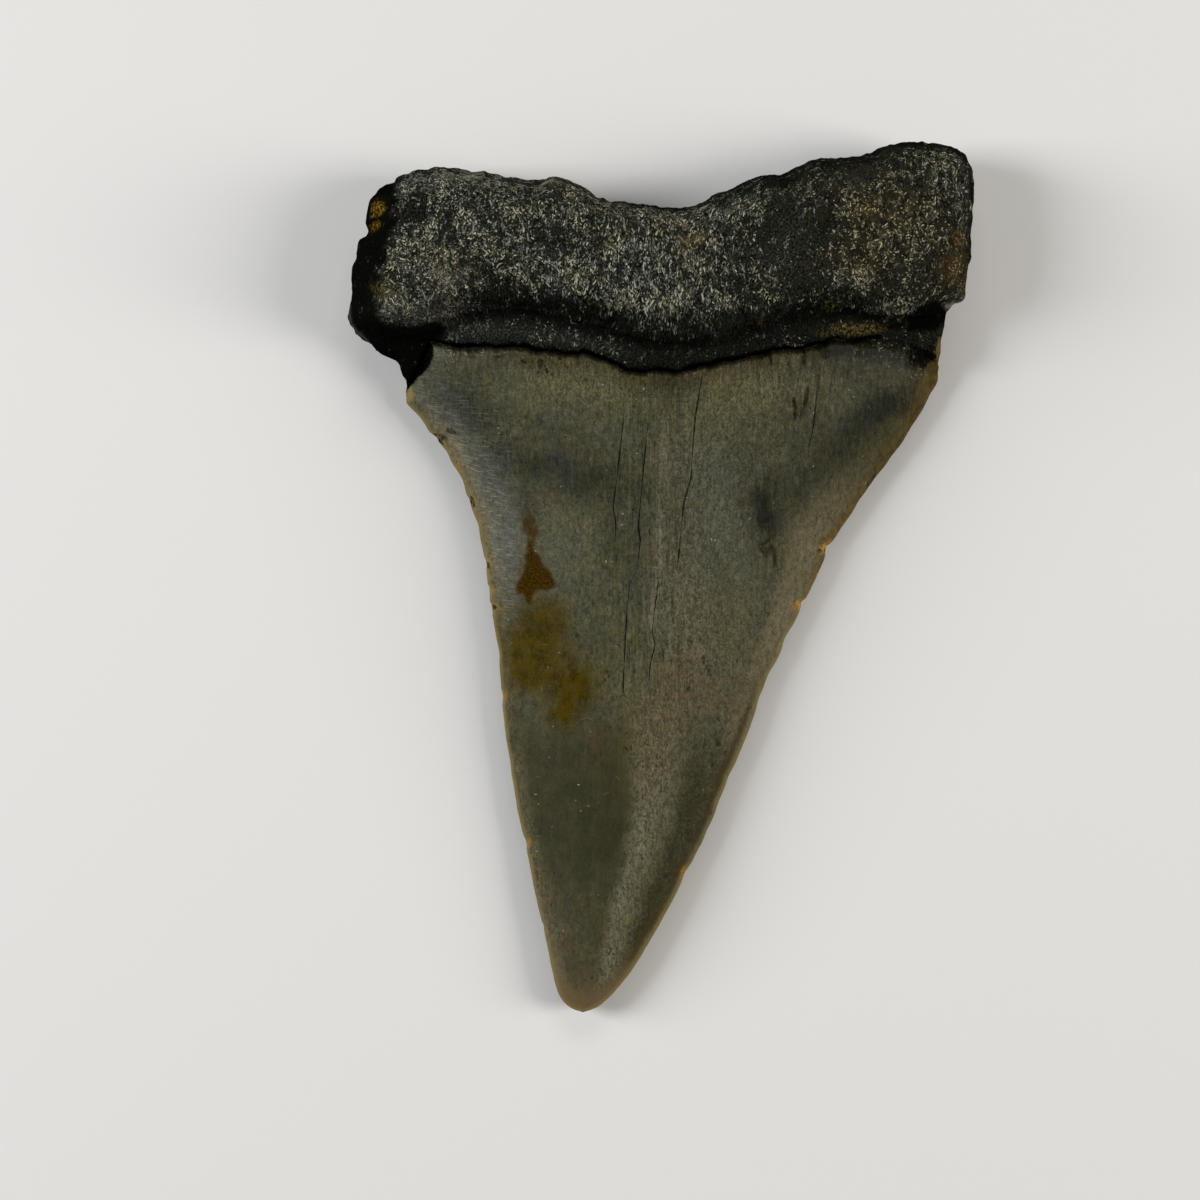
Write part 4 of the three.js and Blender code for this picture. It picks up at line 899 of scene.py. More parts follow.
# pale lines along the outline: at the right lobe's lower corner and down the root's lower left edge
pale_rim_lines = up * line([(18.3, 17.38), (18.75, 17.44), (19.2, 17.7), (19.52, 18.08)], 0.13)
pale_rim_lines = np.maximum(pale_rim_lines, 0.30 * up * line([(-19.97, 17.44), (-19.9, 16.35), (-19.52, 15.78), (-18.88, 15.26)], 0.10))
satin = np.clip(blobs([((-16.7, 16.86), 1.9, 0.75, 0, 0.85), ((-13.5, 16.67), 1.6, 0.7, 0, 0.7), ((-12.99, 15.9), 2.4, 0.6, -4, 0.9),
                       ((-9.02, 15.58), 3.0, 0.5, -5, 0.55), ((-4.54, 14.75), 2.6, 0.45, -12, 0.6), ((-13.5, 18.78), 1.2, 1.2, 0, 0.35),
                       ((8.26, 21.02), 1.6, 2.2, 0, 0.22), ((6.98, 19.42), 1.2, 1.0, 0, 0.20), ((5.06, 15.9), 2.4, 0.5, 12, 0.4), ((-11.58, 25.5), 3.6, 0.6, 4, 0.35),
                       ((12.42, 25.18), 1.2, 1.0, 0, 0.35), ((-6.46, 25.18), 2.2, 0.5, 0, 0.3)], 560), 0, 1)
vert = np.exp(-((x - 0.5) / 7.0) ** 2) * smooth(-0.2, 0.4, a_mm)
band = smooth(0.25, -0.25, a_mm) * up * smooth(16.9, 14.66, x)

# =====================================================================
# into Blender
# =====================================================================
me = bpy.data.meshes.new("tooth_surface")
me.from_pydata((verts * 0.001).tolist(), [], faces)
me.update()
tooth = bpy.data.objects.new("tooth_visual", me)
bpy.context.scene.collection.objects.link(tooth)
me.polygons.foreach_set("use_smooth", [True] * len(me.polygons))


def attribute(name, values):
    at = me.attributes.new(name, "FLOAT", "POINT")
    at.data.foreach_set("value", np.clip(values, 0, 1).astype(np.float32))


for name, values in (
        ("root", root_c), ("crack", crack_v), ("stain", stain), ("olive", olive), ("cool", cool), ("pale", pale),
        ("cream", cream), ("pink", pink), ("khaki", khaki), ("sheen_l", sheen_l), ("dark_low", dark_low),
        ("dark_r", dark_r), ("warm_r", warm_r), ("amber", amber), ("amber_r", amber_r), ("tip", tip),
        ("tip_dark", tip_dark), ("chips", chips), ("brown", brown), ("strip", strip), ("dirt", dirt),
        ("lines", lines), ("speck", speck), ("glint", glint), ("lit", lit), ("dark_wall_and_shade", dark_wall_and_shade),
        ("tan", tan), ("gold", gold), ("gold2", gold2), ("stripe", stripe), ("silver", silver), ("sheen_edge_l", sheen_edge_l), ("rim_in", rim_in),
        ("grain", grain_v), ("rust", rust), ("pale_rim_lines", pale_rim_lines), ("vert", vert), ("band", band), ("grime", grime),
        ("crevice", crevice), ("pits", pit_mask), ("satin", satin), ("fringe", fringe), ("hair_l", hair_l),
        ("warm_top", warm_top), ("white_low", white_low), ("shade", shade)):
    attribute(name, values)

# ---- the two faces laid flat, their walls folded outwards (mm), for the pattern and the unwrapped map ----
nn = np.linalg.norm(near, axis=1)
dirn = np.where(nn[:, None] > 1e-3, near / np.maximum(nn, 1e-6)[:, None], 0.0)
rimn = N[:, :2] / np.maximum(np.linalg.norm(N[:, :2], axis=1), 1e-6)[:, None]
dirn = np.where((nn[:, None] > 0.05), dirn, rimn)
fold = smooth(2.6, 1.2, d) * smooth(14.0, 17.5, y) * 0.8
drop_f = np.maximum(0, np.clip(root_face(x, y), 4, 12) - verts[:, 2]) * fold
drop_b = np.maximum(0, verts[:, 2]) * fold
flat_f = np.column_stack([x, y]) + dirn * drop_f[:, None]
flat_b = np.column_stack([x, y]) + dirn * drop_b[:, None]

loops = np.zeros(len(me.loops), np.int32)
me.loops.foreach_get("vertex_index", loops)
totals = np.zeros(len(me.polygons), np.int32)
me.polygons.foreach_get("loop_total", totals)
is_front = np.repeat(np.arange(len(me.polygons)), totals) < n_front_faces

skin = np.zeros((len(loops), 3), np.float32)
skin[:, :2] = np.where(is_front[:, None], flat_f[loops], flat_b[loops] * (-1, 1) + (90.0, 0.0))
me.attributes.new("skin", "FLOAT_VECTOR", "CORNER").data.foreach_set("vector", skin.ravel())

uv = me.uv_layers.new(name="OFBake")
uvs = np.empty((len(loops), 2), np.float32)
uvs[:, 0] = np.where(is_front, flat_f[loops, 0] + 26.5, 53.5 - flat_b[loops, 0]) / 80.0
uvs[:, 1] = np.where(is_front, flat_f[loops, 1] + 46.0, 34.5 - flat_b[loops, 1]) / 80.0
uvs = np.clip(uvs, 0.001, 0.999)
uv.data.foreach_set("uv", uvs.ravel())
print("uv", uvs[is_front].min(0), uvs[is_front].max(0), uvs[~is_front].min(0), uvs[~is_front].max(0))

# =====================================================================
# material: one shader, its inputs mixed from the fields and fine noise
# =====================================================================
mat = bpy.data.materials.new("fossil_tooth_surface")
mat.use_nodes = True
nt = mat.node_tree
nt.nodes.clear()
out = nt.nodes.new("ShaderNodeOutputMaterial")
bsdf = nt.nodes.new("ShaderNodeBsdfPrincipled")
nt.links.new(bsdf.outputs[0], out.inputs[0])


def plug(sock, value):
    if isinstance(value, bpy.types.NodeSocket):
        nt.links.new(value, sock)
    elif isinstance(value, (tuple, list)):
        sock.default_value = tuple(value) + ((1.0,) if len(value) == 3 and len(sock.default_value) == 4 else ())
    else:
        sock.default_value = value


def attr(name):
    n = nt.nodes.new("ShaderNodeAttribute")
    n.attribute_name = name
    return n.outputs["Fac"]


def m(op, a, b=0.0, clamp=False):
    n = nt.nodes.new("ShaderNodeMath")
    n.operation = op
    n.use_clamp = clamp
    plug(n.inputs[0], a)
    plug(n.inputs[1], b)
    return n.outputs[0]


def ramp(v, lo, hi, smoothly=True):
    n = nt.nodes.new("ShaderNodeMapRange")
    n.interpolation_type = "SMOOTHSTEP" if smoothly else "LINEAR"
    plug(n.inputs["Value"], v)
    n.inputs["From Min"].default_value = lo
    n.inputs["From Max"].default_value = hi
    return n.outputs["Result"]


def rescale(v, lo, hi, to_lo, to_hi):
    n = nt.nodes.new("ShaderNodeMapRange")
    plug(n.inputs["Value"], v)
    n.inputs["From Min"].default_value = lo
    n.inputs["From Max"].default_value = hi
    n.inputs["To Min"].default_value = to_lo
    n.inputs["To Max"].default_value = to_hi
    return n.outputs["Result"]


def blend(fac, a, b, mode="MIX"):
    n = nt.nodes.new("ShaderNodeMix")
    n.data_type = "RGBA"
    n.blend_type = mode
    n.clamp_factor = True
    plug(n.inputs[0], fac)
    plug(n.inputs[6], a)
    plug(n.inputs[7], b)
    return n.outputs[2]


tc = nt.nodes.new("ShaderNodeTexCoord")


def coords(sx, sy, sz, turn=0.0, shift=(0, 0, 0)):
    """Object coordinates in grains: sx, sy, sz are grain sizes in mm."""
    n = nt.nodes.new("ShaderNodeMapping")
    n.vector_type = "POINT"
    nt.links.new(tc.outputs["Object"], n.inputs["Vector"])
    n.inputs["Rotation"].default_value = (0, 0, math.radians(turn))
    n.inputs["Scale"].default_value = (1000 / sx, 1000 / sy, 1000 / sz)
    n.inputs["Location"].default_value = shift
    return n.outputs[0]


def nz(vec, detail=2.0, rough=0.5, distort=0.0, scale=1.0):
    n = nt.nodes.new("ShaderNodeTexNoise")
    nt.links.new(vec, n.inputs["Vector"])
    n.inputs["Scale"].default_value = scale
    n.inputs["Detail"].default_value = detail
    n.inputs["Roughness"].default_value = rough
    n.inputs["Distortion"].default_value = distort
    return n.outputs["Fac"]


def vor(vec, feature="F1", scale=1.0, randomness=1.0):
    n = nt.nodes.new("ShaderNodeTexVoronoi")
    n.feature = feature
    nt.links.new(vec, n.inputs["Vector"])
    n.inputs["Scale"].default_value = scale
    n.inputs["Randomness"].default_value = randomness
    return n.outputs["Distance"]


def srgb(r, g, b, gain=1.0):
    def f(c):
        c = c / 255
        return (c / 12.92 if c <= 0.04045 else ((c + 0.055) / 1.055) ** 2.4) * gain
    return (f(r), f(g), f(b))


def vmath(op, a, b=None, c=None):
    n = nt.nodes.new("ShaderNodeVectorMath")
    n.operation = op
    for k, value in enumerate((a, b, c)):
        if value is not None:
            plug(n.inputs[k], value)
    return n.outputs[0]


def flmix(fac, a, b):
    n = nt.nodes.new("ShaderNodeMix")
    n.data_type = "FLOAT"
    n.clamp_factor = True
    plug(n.inputs[0], fac)
    plug(n.inputs[2], a)
    plug(n.inputs[3], b)
    return n.outputs[0]


def gain_of(col, factor):
    n = nt.nodes.new("ShaderNodeVectorMath")
    n.operation = "SCALE"
    plug(n.inputs[0], col)
    plug(n.inputs["Scale"], factor)
    return n.outputs[0]


def mul(*vals):
    out_v = vals[0]
    for v in vals[1:]:
        out_v = m("MULTIPLY", out_v, v)
    return out_v


def add(*vals):
    out_v = vals[0]
    for v in vals[1:]:
        out_v = m("ADD", out_v, v)
    return out_v


# surface coordinates in mm, laid flat, slightly bent so that strokes curve
n_skin = nt.nodes.new("ShaderNodeAttribute")
n_skin.attribute_name = "skin"
SKIN = n_skin.outputs["Vector"]


def nz2(sx, sy, shift=(0, 0, 0), detail=2.0, rough=0.5, out_name="Fac"):
    """Noise on the laid-flat surface; sx, sy are grain sizes in mm."""
    n = nt.nodes.new("ShaderNodeTexNoise")
    n.noise_dimensions = "2D"
    nt.links.new(vmath("MULTIPLY_ADD", SKIN, (1 / sx, 1 / sy, 0.0), shift), n.inputs["Vector"])
    n.inputs["Scale"].default_value = 1.0
    n.inputs["Detail"].default_value = detail
    n.inputs["Roughness"].default_value = rough
    return n.outputs[out_name]


bend = nz2(0.5, 0.5, (3.3, 8.1, 0), 1.0, 0.5, "Color")
BENT = vmath("MULTIPLY_ADD", bend, (0.20, 0.20, 0.0), SKIN)


def strokes(cx, cy, length, width, base, spread, shift, soft=0.4, vec=None):
    """Short strokes scattered one to a cell. Cell size, length and width in mm, angles in radians.
    Gives the stroke's mask and two random numbers of its own."""
    scaled = vmath("MULTIPLY_ADD", BENT if vec is None else vec, (1 / cx, 1 / cy, 0.0), shift)
    v = nt.nodes.new("ShaderNodeTexVoronoi")
    v.voronoi_dimensions = "2D"
    v.feature = "F1"
    nt.links.new(scaled, v.inputs["Vector"])
    v.inputs["Scale"].default_value = 1.0
    v.inputs["Randomness"].default_value = 1.0
    off = vmath("MULTIPLY", vmath("SUBTRACT", scaled, v.outputs["Position"]), (cx, cy, 0.0))
    xyz = nt.nodes.new("ShaderNodeSeparateXYZ")
    nt.links.new(off, xyz.inputs[0])
    rnd = nt.nodes.new("ShaderNodeSeparateColor")
    nt.links.new(v.outputs["Color"], rnd.inputs[0])
    ang = m("ADD", base, m("MULTIPLY", m("SUBTRACT", rnd.outputs[0], 0.5), spread))
    c, sn = m("COSINE", ang), m("SINE", ang)
    u = m("ADD", m("MULTIPLY", xyz.outputs[0], c), m("MULTIPLY", xyz.outputs[1], sn))
    w = m("SUBTRACT", m("MULTIPLY", xyz.outputs[1], c), m("MULTIPLY", xyz.outputs[0], sn))
    u, w = m("MULTIPLY", u, 2 / length), m("MULTIPLY", w, 2 / width)
    q = m("SQRT", m("ADD", m("MULTIPLY", u, u), m("MULTIPLY", w, w)))
    return ramp(q, 1 + soft, 1 - soft), rnd.outputs[1], rnd.outputs[2]


G = 1.08   # material colour for a surface that should look like the given screen colour
TURN = 2 * math.pi

# ---- crown ------------------------------------------------------------
mottle = nz2(0.9, 1.3, (0, 0, 0), 4, 0.6)
mottle2 = nz2(0.42, 0.55, (7.7, 2.1, 0), 3, 0.65)
clouds = nz2(1.7, 2.6, (4.4, 9.9, 0), 4, 0.62)
grit = nz2(0.13, 0.15, (1.2, 4.5, 0), 1.5, 0.6)               # sandpaper
streak = nz2(0.09, 3.4, (0, 0, 0), 2, 0.6)                    # fine upright growth lines
sheen, pale, lines_at, silver, warm = attr("sheen_l"), attr("pale"), attr("lines"), attr("silver"), attr("warm_r")
fine_c = ramp(grit, 0.35, 0.65)


def turned(vec, degrees):
    """Flat coordinates turned so that x runs in the given direction."""
    n = nt.nodes.new("ShaderNodeVectorRotate")
    n.rotation_type = "Z_AXIS"
    nt.links.new(vec, n.inputs["Vector"])
    n.inputs["Angle"].default_value = -math.radians(degrees)
    return n.outputs[0]


def hairs(cx, length, degrees, spread, shift, mid):
    """Fine polishing hairs in one direction: + for pale ones, - for dark ones."""
    mask, r1, _ = strokes(cx, 0.11, length, 0.044, 0.0, spread, shift, 0.5, turned(SKIN, degrees))
    return mul(mask, m("SUBTRACT", m("MULTIPLY", r1, r1), mid))


gain = add(1.0, mul(hairs(0.62, 0.74, 166, 0.34, (0, 0, 0), 0.16), flmix(attr("hair_l"), 0.10, 1.90)))
gain = add(gain, mul(hairs(0.70, 0.80, 92, 0.26, (6.1, 3.7, 0), 0.30), flmix(pale, 0.34, 0.85)))
gain = add(gain, mul(hairs(0.60, 0.60, 60, 0.30, (2.7, 8.3, 0), 0.30), warm, 0.80))
smooth_at = attr("dark_low")
gain = add(gain, m("MULTIPLY", m("SUBTRACT", streak, 0.5), flmix(lines_at, 0.15, 0.95)),
           m("MULTIPLY", m("SUBTRACT", nz2(0.21, 3.2, (5, 5, 0), 3, 0.65), 0.5), flmix(lines_at, 0.22, 1.25)),
           mul(ramp(streak, 0.62, 0.72), flmix(lines_at, -0.03, -0.50)),
           m("MULTIPLY", m("SUBTRACT", grit, 0.5), flmix(smooth_at, 0.80, 0.35)),
           m("MULTIPLY", m("SUBTRACT", nz2(0.30, 0.46, (3.3, 6.1, 0), 3, 0.7), 0.5), flmix(smooth_at, 1.45, 0.25)))

# dark and pale squiggles like sandpaper
grain_at = attr("grain")
worm_v = vmath("MULTIPLY_ADD", nz2(0.26, 0.26, (6.6, 2.2, 0), 1, 0.5, "Color"), (0.17, 0.17, 0.0), SKIN)
wm, wm_r, wm_b = strokes(0.24, 0.27, 0.40, 0.090, 1.6, 2.4, (1.1, 7.7, 0), 0.5, worm_v)
worms = mul(wm, ramp(m("SUBTRACT", grain_at, wm_r), -0.05, 0.10), flmix(wm_b, 0.35, 1.0))
lights = mul(wm, ramp(wm_r, 0.74, 0.80))
wn, wn_r, wn_b = strokes(0.15, 0.15, 0.20, 0.068, 0.0, TURN, (8.1, 3.3, 0), 0.5, worm_v)
worms = m("MAXIMUM", worms, mul(wn, ramp(m("SUBTRACT", m("MULTIPLY", grain_at, 0.85), wn_r), -0.05, 0.10), flmix(wn_b, 0.20, 0.85)))
lights = mul(m("MAXIMUM", lights, mul(wn, ramp(wn_r, 0.80, 0.86))), flmix(grain_at, 0.06, 0.40),
             m("SUBTRACT", 1.0, m("MAXIMUM", smooth_at, attr("cool")), True))
worms = mul(worms, flmix(m("MAXIMUM", sheen, warm), 0.72, 0.28))

crown = blend(ramp(clouds, 0.38, 0.62), srgb(69, 71, 54, G), srgb(77, 73, 48, G))
crown = blend(mul(ramp(mottle, 0.44, 0.72), 0.60), crown, srgb(91, 88, 66, G))
crown = blend(mul(ramp(mottle2, 0.50, 0.68), flmix(attr("speck"), 0.50, 0.95)), crown, srgb(52, 54, 40, G))
crown = blend(mul(attr("dark_low"), 0.85), crown, blend(ramp(mottle, 0.35, 0.65), srgb(50, 49, 31, G), srgb(56, 54, 34, G)))
crown = blend(mul(attr("dark_r"), 0.85), crown, srgb(44, 41, 20, G))
crown = blend(mul(attr("cream"), rescale(mottle2, 0.35, 0.65, 0.45, 0.95)), crown, srgb(103, 98, 69, G))
crown = blend(mul(silver, rescale(mottle2, 0.35, 0.65, 0.35, 0.90)), crown, srgb(94, 95, 81, G))
crown = blend(mul(pale, rescale(mottle2, 0.35, 0.65, 0.60, 1.0)), crown, blend(attr("white_low"), srgb(95, 88, 64, G), srgb(104, 99, 79, G)))
crown = blend(mul(attr("stripe"), rescale(mottle2, 0.35, 0.65, 0.55, 1.0)), crown, srgb(116, 108, 92, G))
crown = blend(mul(attr("khaki"), 0.5), crown, srgb(76, 70, 41, G))
# painted highlights: the sheen inside the upper left edge and its cream outer part
crown = blend(mul(sheen, 0.78), crown, srgb(82, 83, 74, G))
crown = blend(mul(attr("sheen_edge_l"), 0.75), crown, srgb(114, 101, 72, G))
# warm band inside the right edge: its brighter lower colour is a painted highlight
crown = blend(mul(warm, 0.85), crown, blend(attr("warm_top"), srgb(107, 100, 76, G), srgb(64, 60, 37, G)))
cool_at = attr("cool")
crown = blend(mul(cool_at, rescale(nz2(0.22, 1.0, (6, 4, 0), 3, 0.65), 0.35, 0.65, 0.62, 1.0)), crown, blend(ramp(clouds, 0.40, 0.60), srgb(36, 39, 38, G), srgb(38, 41, 35, G)))
crown = blend(mul(attr("shade"), rescale(nz2(0.18, 0.8, (1, 6, 0), 3, 0.72), 0.36, 0.64, 0.50, 1.35)), crown, blend(attr("cool"), srgb(28, 27, 13, G), srgb(19, 26, 20, G)))
crown = blend(mul(attr("pink"), ramp(mottle2, 0.40, 0.62), 0.7), crown, srgb(96, 78, 56, G))
crown = gain_of(crown, gain)
crown = blend(worms, crown, srgb(42, 40, 22, G))
crown = blend(lights, crown, srgb(124, 121, 98, G))
crown = blend(m("MULTIPLY", attr("olive"), rescale(mottle2, 0.35, 0.65, 0.84, 1.32), True), crown, blend(m("ADD", m("MULTIPLY", fine_c, 0.5), ramp(mottle, 0.35, 0.65), True), srgb(46, 38, 1, G), srgb(68, 56, 6, G)))
crown = blend(mul(ramp(add(attr("stain"), mul(m("SUBTRACT", grit, 0.5), 0.9), mul(m("SUBTRACT", mottle2, 0.5), 0.8)), 0.14, 0.86), 0.97), crown, blend(fine_c, srgb(38, 24, 0, G), srgb(66, 44, 2, G)))
crown = blend(mul(attr("tip"), 0.80), crown, srgb(104, 87, 60, G))
crown = blend(mul(attr("tip_dark"), 0.55), crown, srgb(74, 65, 46, G))
# amber edges: their own tint and a painted glow of light through the thin enamel
rim_col = blend(attr("amber_r"), srgb(124, 109, 68, G), blend(ramp(mottle2, 0.4, 0.6), srgb(76, 56, 18, G), srgb(100, 78, 33, G)))
rim_col = blend(mul(attr("amber_r"), attr("warm_top"), 0.75), rim_col, blend(ramp(mottle2, 0.4, 0.6), srgb(62, 47, 10, G), srgb(86, 67, 22, G)))
crown = blend(mul(attr("rim_in"), 0.80), crown, srgb(62, 47, 16, G))
crown = blend(mul(attr("amber"), 0.92), crown, rim_col)
crown = blend(mul(attr("chips"), 0.95), crown, blend(ramp(grit, 0.40, 0.60), srgb(172, 136, 60, G), srgb(124, 90, 28, G)))
# fine upright dark specks, pale scuffs
sp, sp_r, sp_b = strokes(0.50, 0.62, 0.24, 0.10, 1.65, 0.9, (2.2, 9.4, 0))
speck = mul(sp, ramp(m("SUBTRACT", m("MULTIPLY", attr("speck"), 0.55), sp_r), 0.0, 0.08))
crown = blend(mul(speck, flmix(sp_b, 0.30, 0.8)), crown, srgb(34, 30, 19, G))
sc, sc_r, sc_b = strokes(0.95, 0.95, 0.45, 0.045, 0.5, TURN, (4.1, 1.3, 0))
sc = mul(sc, ramp(sc_r, 0.86, 0.90))
crown = blend(mul(sc, 0.30), crown, srgb(122, 118, 100, G))
# painted highlights: tiny white glints
gl, gl_r, gl_b = strokes(0.34, 0.34, 0.15, 0.045, 0.0, TURN, (8.8, 6.6, 0))
gl = mul(gl, ramp(m("SUBTRACT", attr("glint"), gl_r), 0.0, 0.012), flmix(gl_b, 0.15, 0.85))
crown = blend(mul(attr("strip"), ramp(nz2(0.32, 0.26, (3, 3, 0), 3, 0.65), 0.44, 0.60), 0.60), crown, srgb(90, 78, 50, G))
grime_n = ramp(nz2(0.26, 1.5, (2, 7, 0), 3, 0.75), 0.45, 0.56)
crown = blend(mul(attr("grime"), grime_n, 0.66), crown, srgb(40, 38, 20, G))
crown = blend(mul(attr("grime"), ramp(nz2(0.13, 1.1, (1, 12, 0), 2, 0.7), 0.50, 0.58), 0.52), crown, srgb(27, 25, 13, G))
crown = blend(mul(ramp(attr("shade"), 0.68, 0.84), ramp(attr("grime"), 0.30, 0.55), rescale(grime_n, 0, 1, 0.55, 0.90)), crown, srgb(13, 13, 5, G))
crown = blend(mul(attr("dirt"), ramp(nz2(0.20, 0.22, (9, 1, 0), 3, 0.65), 0.42, 0.56)), crown, srgb(26, 24, 17, G))
fb, fb_r, fb_b = strokes(0.14, 0.18, 0.34, 0.046, 0.9, 3.6, (3.8, 2.6, 0), 0.5, worm_v)
fb = mul(fb, ramp(m("SUBTRACT", attr("fringe"), fb_r), -0.03, 0.06), flmix(fb_b, 0.25, 0.95))
crown = blend(mul(fb, 0.85), crown, srgb(136, 131, 104, G))
brown_at = mul(ramp(attr("brown"), 0.06, 0.50), rescale(nz2(0.20, 0.50, (8, 5, 0), 2, 0.7), 0.38, 0.62, 0.45, 1.10))
crown = blend(mul(brown_at, 0.95), crown, blend(fine_c, srgb(18, 15, 5, G), srgb(36, 29, 10, G)))
crown = blend(mul(attr("pits"), 0.85), crown, srgb(20, 18, 13, G))
crack_at = mul(ramp(attr("crack"), 0.20, 0.60), rescale(nz2(0.22, 0.60, (3, 9, 0), 2, 0.6), 0.45, 0.70, 1.0, 0.45))
crown = blend(mul(crack_at, 0.96), crown, srgb(14, 13, 7, G))
crown = blend(gl, crown, srgb(185, 183, 166, G))

# ---- root ---------------------------------------------------------------
lit, dark_at = attr("lit"), attr("dark_wall_and_shade")
vert_at = attr("vert")
spread_at = flmix(vert_at, TURN / 2, 0.95)
band_at = attr("band")
dens = m("MULTIPLY", lit, m("SUBTRACT", 1.0, m("MULTIPLY", dark_at, 0.85)))
clump = nz2(0.44, 0.62, (2.5, 6.5, 0), 3, 0.7)                # needles stand in clumps
clump2 = nz2(1.7, 1.9, (7.5, 0.5, 0), 2, 0.6)
dens = add(dens, m("MULTIPLY", m("SUBTRACT", clump, 0.5), flmix(attr("tan"), 1.8, 3.0)), m("MULTIPLY", m("SUBTRACT", clump2, 0.5), 0.9), -0.30)


def needle_layer(cx, cy, length, width, shift, bias, bright):
    mask, r1, r2 = strokes(cx, cy, length, width, 1.62, spread_at, shift, 0.32)
    on = ramp(m("SUBTRACT", m("ADD", dens, bias), r1), -0.05, 0.10)
    return mul(mask, on, flmix(m("POWER", r2, 3.0), bright * 0.08, bright))


layers = [needle_layer(0.16, 0.27, 0.32, 0.068, (0, 0, 0), 0.0, 1.0),
          needle_layer(0.14, 0.18, 0.18, 0.070, (5.3, 1.7, 0), 0.02, 0.95),
          needle_layer(0.30, 0.44, 0.56, 0.075, (9.1, 4.4, 0), -0.08, 1.0),
          needle_layer(0.12, 0.13, 0.11, 0.075, (3.9, 7.2, 0), 0.10, 0.55)]
flecks = layers[0]
for layer in layers[1:]:
    flecks = m("MAXIMUM", flecks, layer)
flecks = mul(flecks, m("SUBTRACT", 1.0, m("MULTIPLY", attr("satin"), 0.35)), m("SUBTRACT", 1.0, m("MULTIPLY", dark_at, 0.45)), m("SUBTRACT", 1.0, m("MULTIPLY", band_at, 0.35)))

pepper = nz2(0.12, 0.16, (6, 6, 0), 2, 0.7)
smoke = nz2(0.8, 0.9, (1, 8, 0), 3, 0.6)
ground = blend(ramp(pepper, 0.40, 0.68), srgb(10, 11, 8, G), srgb(45, 47, 39, G))
ground = blend(mul(ramp(smoke, 0.42, 0.66), lit, 0.50), ground, srgb(40, 43, 37, G))
ground = blend(mul(attr("satin"), 0.75), ground, blend(ramp(pepper, 0.40, 0.60), srgb(30, 31, 28, G), srgb(84, 85, 78, G)))
ground = blend(mul(attr("tan"), 0.75), ground, blend(ramp(smoke, 0.40, 0.60), srgb(28, 25, 16, G), srgb(55, 49, 31, G)))
ground = blend(mul(band_at, 0.5), ground, srgb(14, 14, 12, G))
# near black on the black wall and in the painted shade
ground = blend(mul(dark_at, 0.90), ground, srgb(5, 5, 4, G))
fleck_col = blend(attr("tan"), blend(ramp(clump2, 0.42, 0.60), srgb(176, 178, 164, G), srgb(190, 186, 160, G)), srgb(174, 156, 108, G))
fleck_col = blend(mul(dark_at, 0.7), fleck_col, srgb(92, 92, 84, G))
root_col = blend(flecks, ground, fleck_col)
root_col = blend(mul(attr("rust"), ramp(grit, 0.35, 0.6), 0.6), root_col, srgb(54, 41, 17, G))
crumbs = ramp(nz2(0.20, 0.22, (5, 9, 0), 2, 0.65), 0.44, 0.56)
root_col = blend(mul(attr("gold"), crumbs), root_col, blend(fine_c, srgb(92, 68, 12, G), srgb(136, 104, 32, G)))
root_col = blend(mul(attr("gold2"), crumbs, 0.9), root_col, blend(fine_c, srgb(66, 58, 24, G), srgb(106, 96, 54, G)))
root_col = blend(attr("pale_rim_lines"), root_col, srgb(104, 102, 94, G))
root_col = blend(attr("crevice"), root_col, srgb(2, 2, 2, G))

root_at = ramp(add(attr("root"), mul(m("SUBTRACT", nz2(0.10, 0.50, (7, 3, 0), 3, 0.7), 0.5), 1.25)), 0.42, 0.58)
colour = blend(root_at, crown, root_col)
# painted shade: the crevice, near black over root and enamel alike
colour = blend(attr("crevice"), colour, srgb(2, 2, 2, G))
plug(bsdf.inputs["Base Color"], colour)

# ---- gloss ----------------------------------------------------------------
rough_c = rescale(m("ADD", m("MULTIPLY", mottle, 0.4), m("MULTIPLY", grit, 0.6)), 0.3, 0.7, 0.36, 0.52)
rough_c = add(rough_c, mul(pale, 0.14), mul(sheen, 0.04))
rough_c = m("ADD", rough_c, mul(attr("dirt"), 0.25), True)
rough_r = rescale(flecks, 0, 1, 0.80, 0.52)
plug(bsdf.inputs["Roughness"], flmix(root_at, rough_c, rough_r))
bsdf.inputs["IOR"].default_value = 1.5
bsdf.inputs["Specular IOR Level"].default_value = 0.0
# the enamel's satin is a thin coat, weak on stains and dirt; on the root only the needles glint
coat_c = add(0.14, mul(sheen, 0.30), mul(pale, 0.06), mul(attr("amber"), 0.10))
for name, share_of in (("stain", 0.9), ("olive", 0.7), ("cool", 0.7), ("dirt", 0.9), ("crack", 1.0), ("grime", 0.4)):
    coat_c = m("MULTIPLY", coat_c, m("SUBTRACT", 1.0, m("MULTIPLY", attr(name), share_of)))
coat = flmix(root_at, coat_c, mul(flecks, 0.16))
plug(bsdf.inputs["Coat Weight"], coat)
bsdf.inputs["Coat Roughness"].default_value = 0.36
bsdf.inputs["Coat IOR"].default_value = 1.5
bsdf.inputs["Subsurface Weight"].default_value = 0.08
bsdf.inputs["Subsurface Radius"].default_value = (1.0, 0.7, 0.35)
bsdf.inputs["Subsurface Scale"].default_value = 0.0004

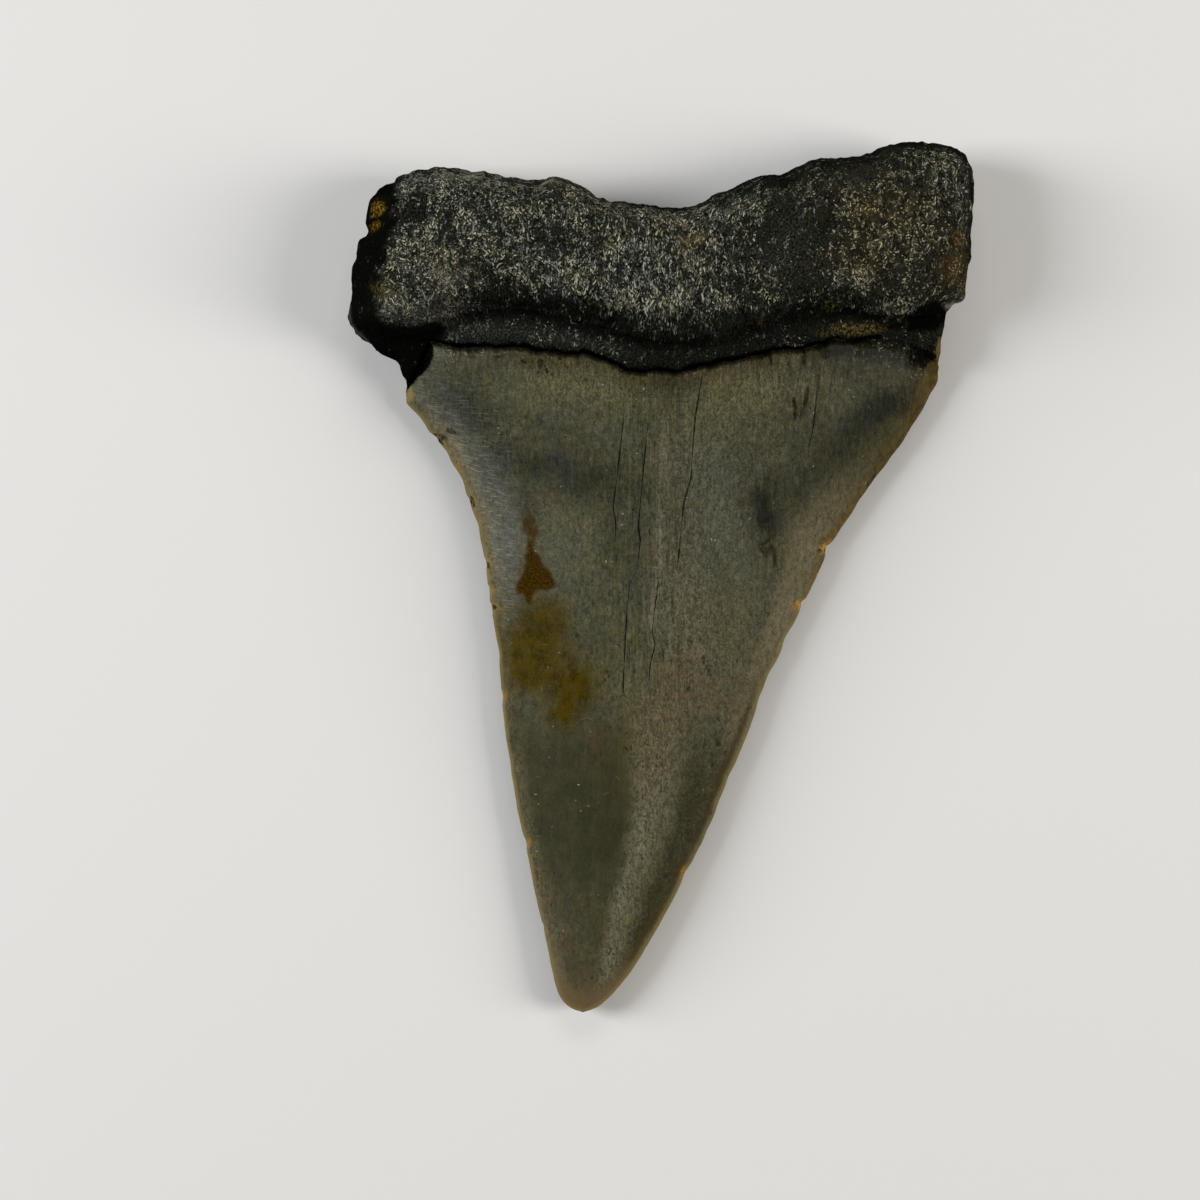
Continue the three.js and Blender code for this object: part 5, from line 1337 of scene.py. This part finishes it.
# ---- fine relief on top of the mesh ---------------------------------------
h_root = add(mul(pepper, 1.0), mul(nz2(0.34, 0.4, (4, 4, 0), 3, 0.65), 1.0))
h_crown = add(mul(streak, flmix(lines_at, 0.03, 0.18)), mul(grit, 0.20), mul(mottle2, 0.12))
bump = nt.nodes.new("ShaderNodeBump")
bump.inputs["Strength"].default_value = 0.6
bump.inputs["Distance"].default_value = 0.00012
plug(bump.inputs["Height"], flmix(attr("root"), h_crown, h_root))
nt.links.new(bump.outputs[0], bsdf.inputs["Normal"])
nt.links.new(bump.outputs[0], bsdf.inputs["Coat Normal"])

me.materials.append(mat)
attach(tooth, "root")
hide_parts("tooth")

# =====================================================================
# plain floor, soft light, camera straight above
# =====================================================================
fm = bpy.data.meshes.new("floor_sheet")
half, depth_f = 1.2, 0.0
fm.from_pydata([(-half, -half, depth_f), (half, -half, depth_f), (half, half, depth_f), (-half, half, depth_f)],
               [], [(0, 1, 2, 3)])
floor = bpy.data.objects.new("floor", fm)
bpy.context.scene.collection.objects.link(floor)
fmat = bpy.data.materials.new("floor_plain")
fmat.use_nodes = True
fb = fmat.node_tree.nodes["Principled BSDF"]
fb.inputs["Base Color"].default_value = (0.80, 0.79, 0.77, 1)
fb.inputs["Roughness"].default_value = 0.9
fb.inputs["Specular IOR Level"].default_value = 0.1
fm.materials.append(fmat)
floor.location = (0, 0, -0.00002)

scene = bpy.context.scene
scene.view_settings.view_transform = "Standard"
world = bpy.data.worlds.new("studio")
scene.world = world
world.use_nodes = True
bg = world.node_tree.nodes["Background"]
bg.inputs[0].default_value = (0.93, 0.94, 1.0, 1)
bg.inputs[1].default_value = 0.11


def softbox(name, place_at, aim, size, power, colour=(1, 1, 1)):
    light = bpy.data.lights.new(name, "AREA")
    light.shape = "RECTANGLE"
    light.size, light.size_y = size
    light.energy = power
    light.color = colour
    ob = bpy.data.objects.new(name, light)
    scene.collection.objects.link(ob)
    ob.location = place_at
    ob.rotation_euler = (Vector(aim) - Vector(place_at)).to_track_quat("-Z", "Y").to_euler()
    ob.visible_camera = False
    return ob


softbox("soft_left", (-0.36, 0.05, 0.235), (0, 0, 0.005), (0.16, 0.30), 1.55, (0.97, 0.985, 1.0))
softbox("soft_right", (0.38, -0.02, 0.25), (0, 0, 0.005), (0.16, 0.30), 1.40, (1.0, 0.965, 0.91))
softbox("soft_back", (0.02, 0.36, 0.34), (0, 0, 0.005), (0.30, 0.14), 0.35, (1.0, 1.0, 1.0))

cam = bpy.data.cameras.new("camera")
cam_ob = bpy.data.objects.new("camera", cam)
scene.collection.objects.link(cam_ob)
cam.sensor_width = 36.0
cam.sensor_fit = "HORIZONTAL"
cam.lens = 105.0
VIEW_MM, MID_Z = 76.8, 4.5
dist = (VIEW_MM * 0.001) * cam.lens / 36.0
cam_ob.location = (-0.0039, -0.001376, MID_Z * 0.001 + dist)
cam_ob.rotation_euler = (0, 0, 0)
cam.clip_start, cam.clip_end = 0.01, 20
scene.camera = cam_ob
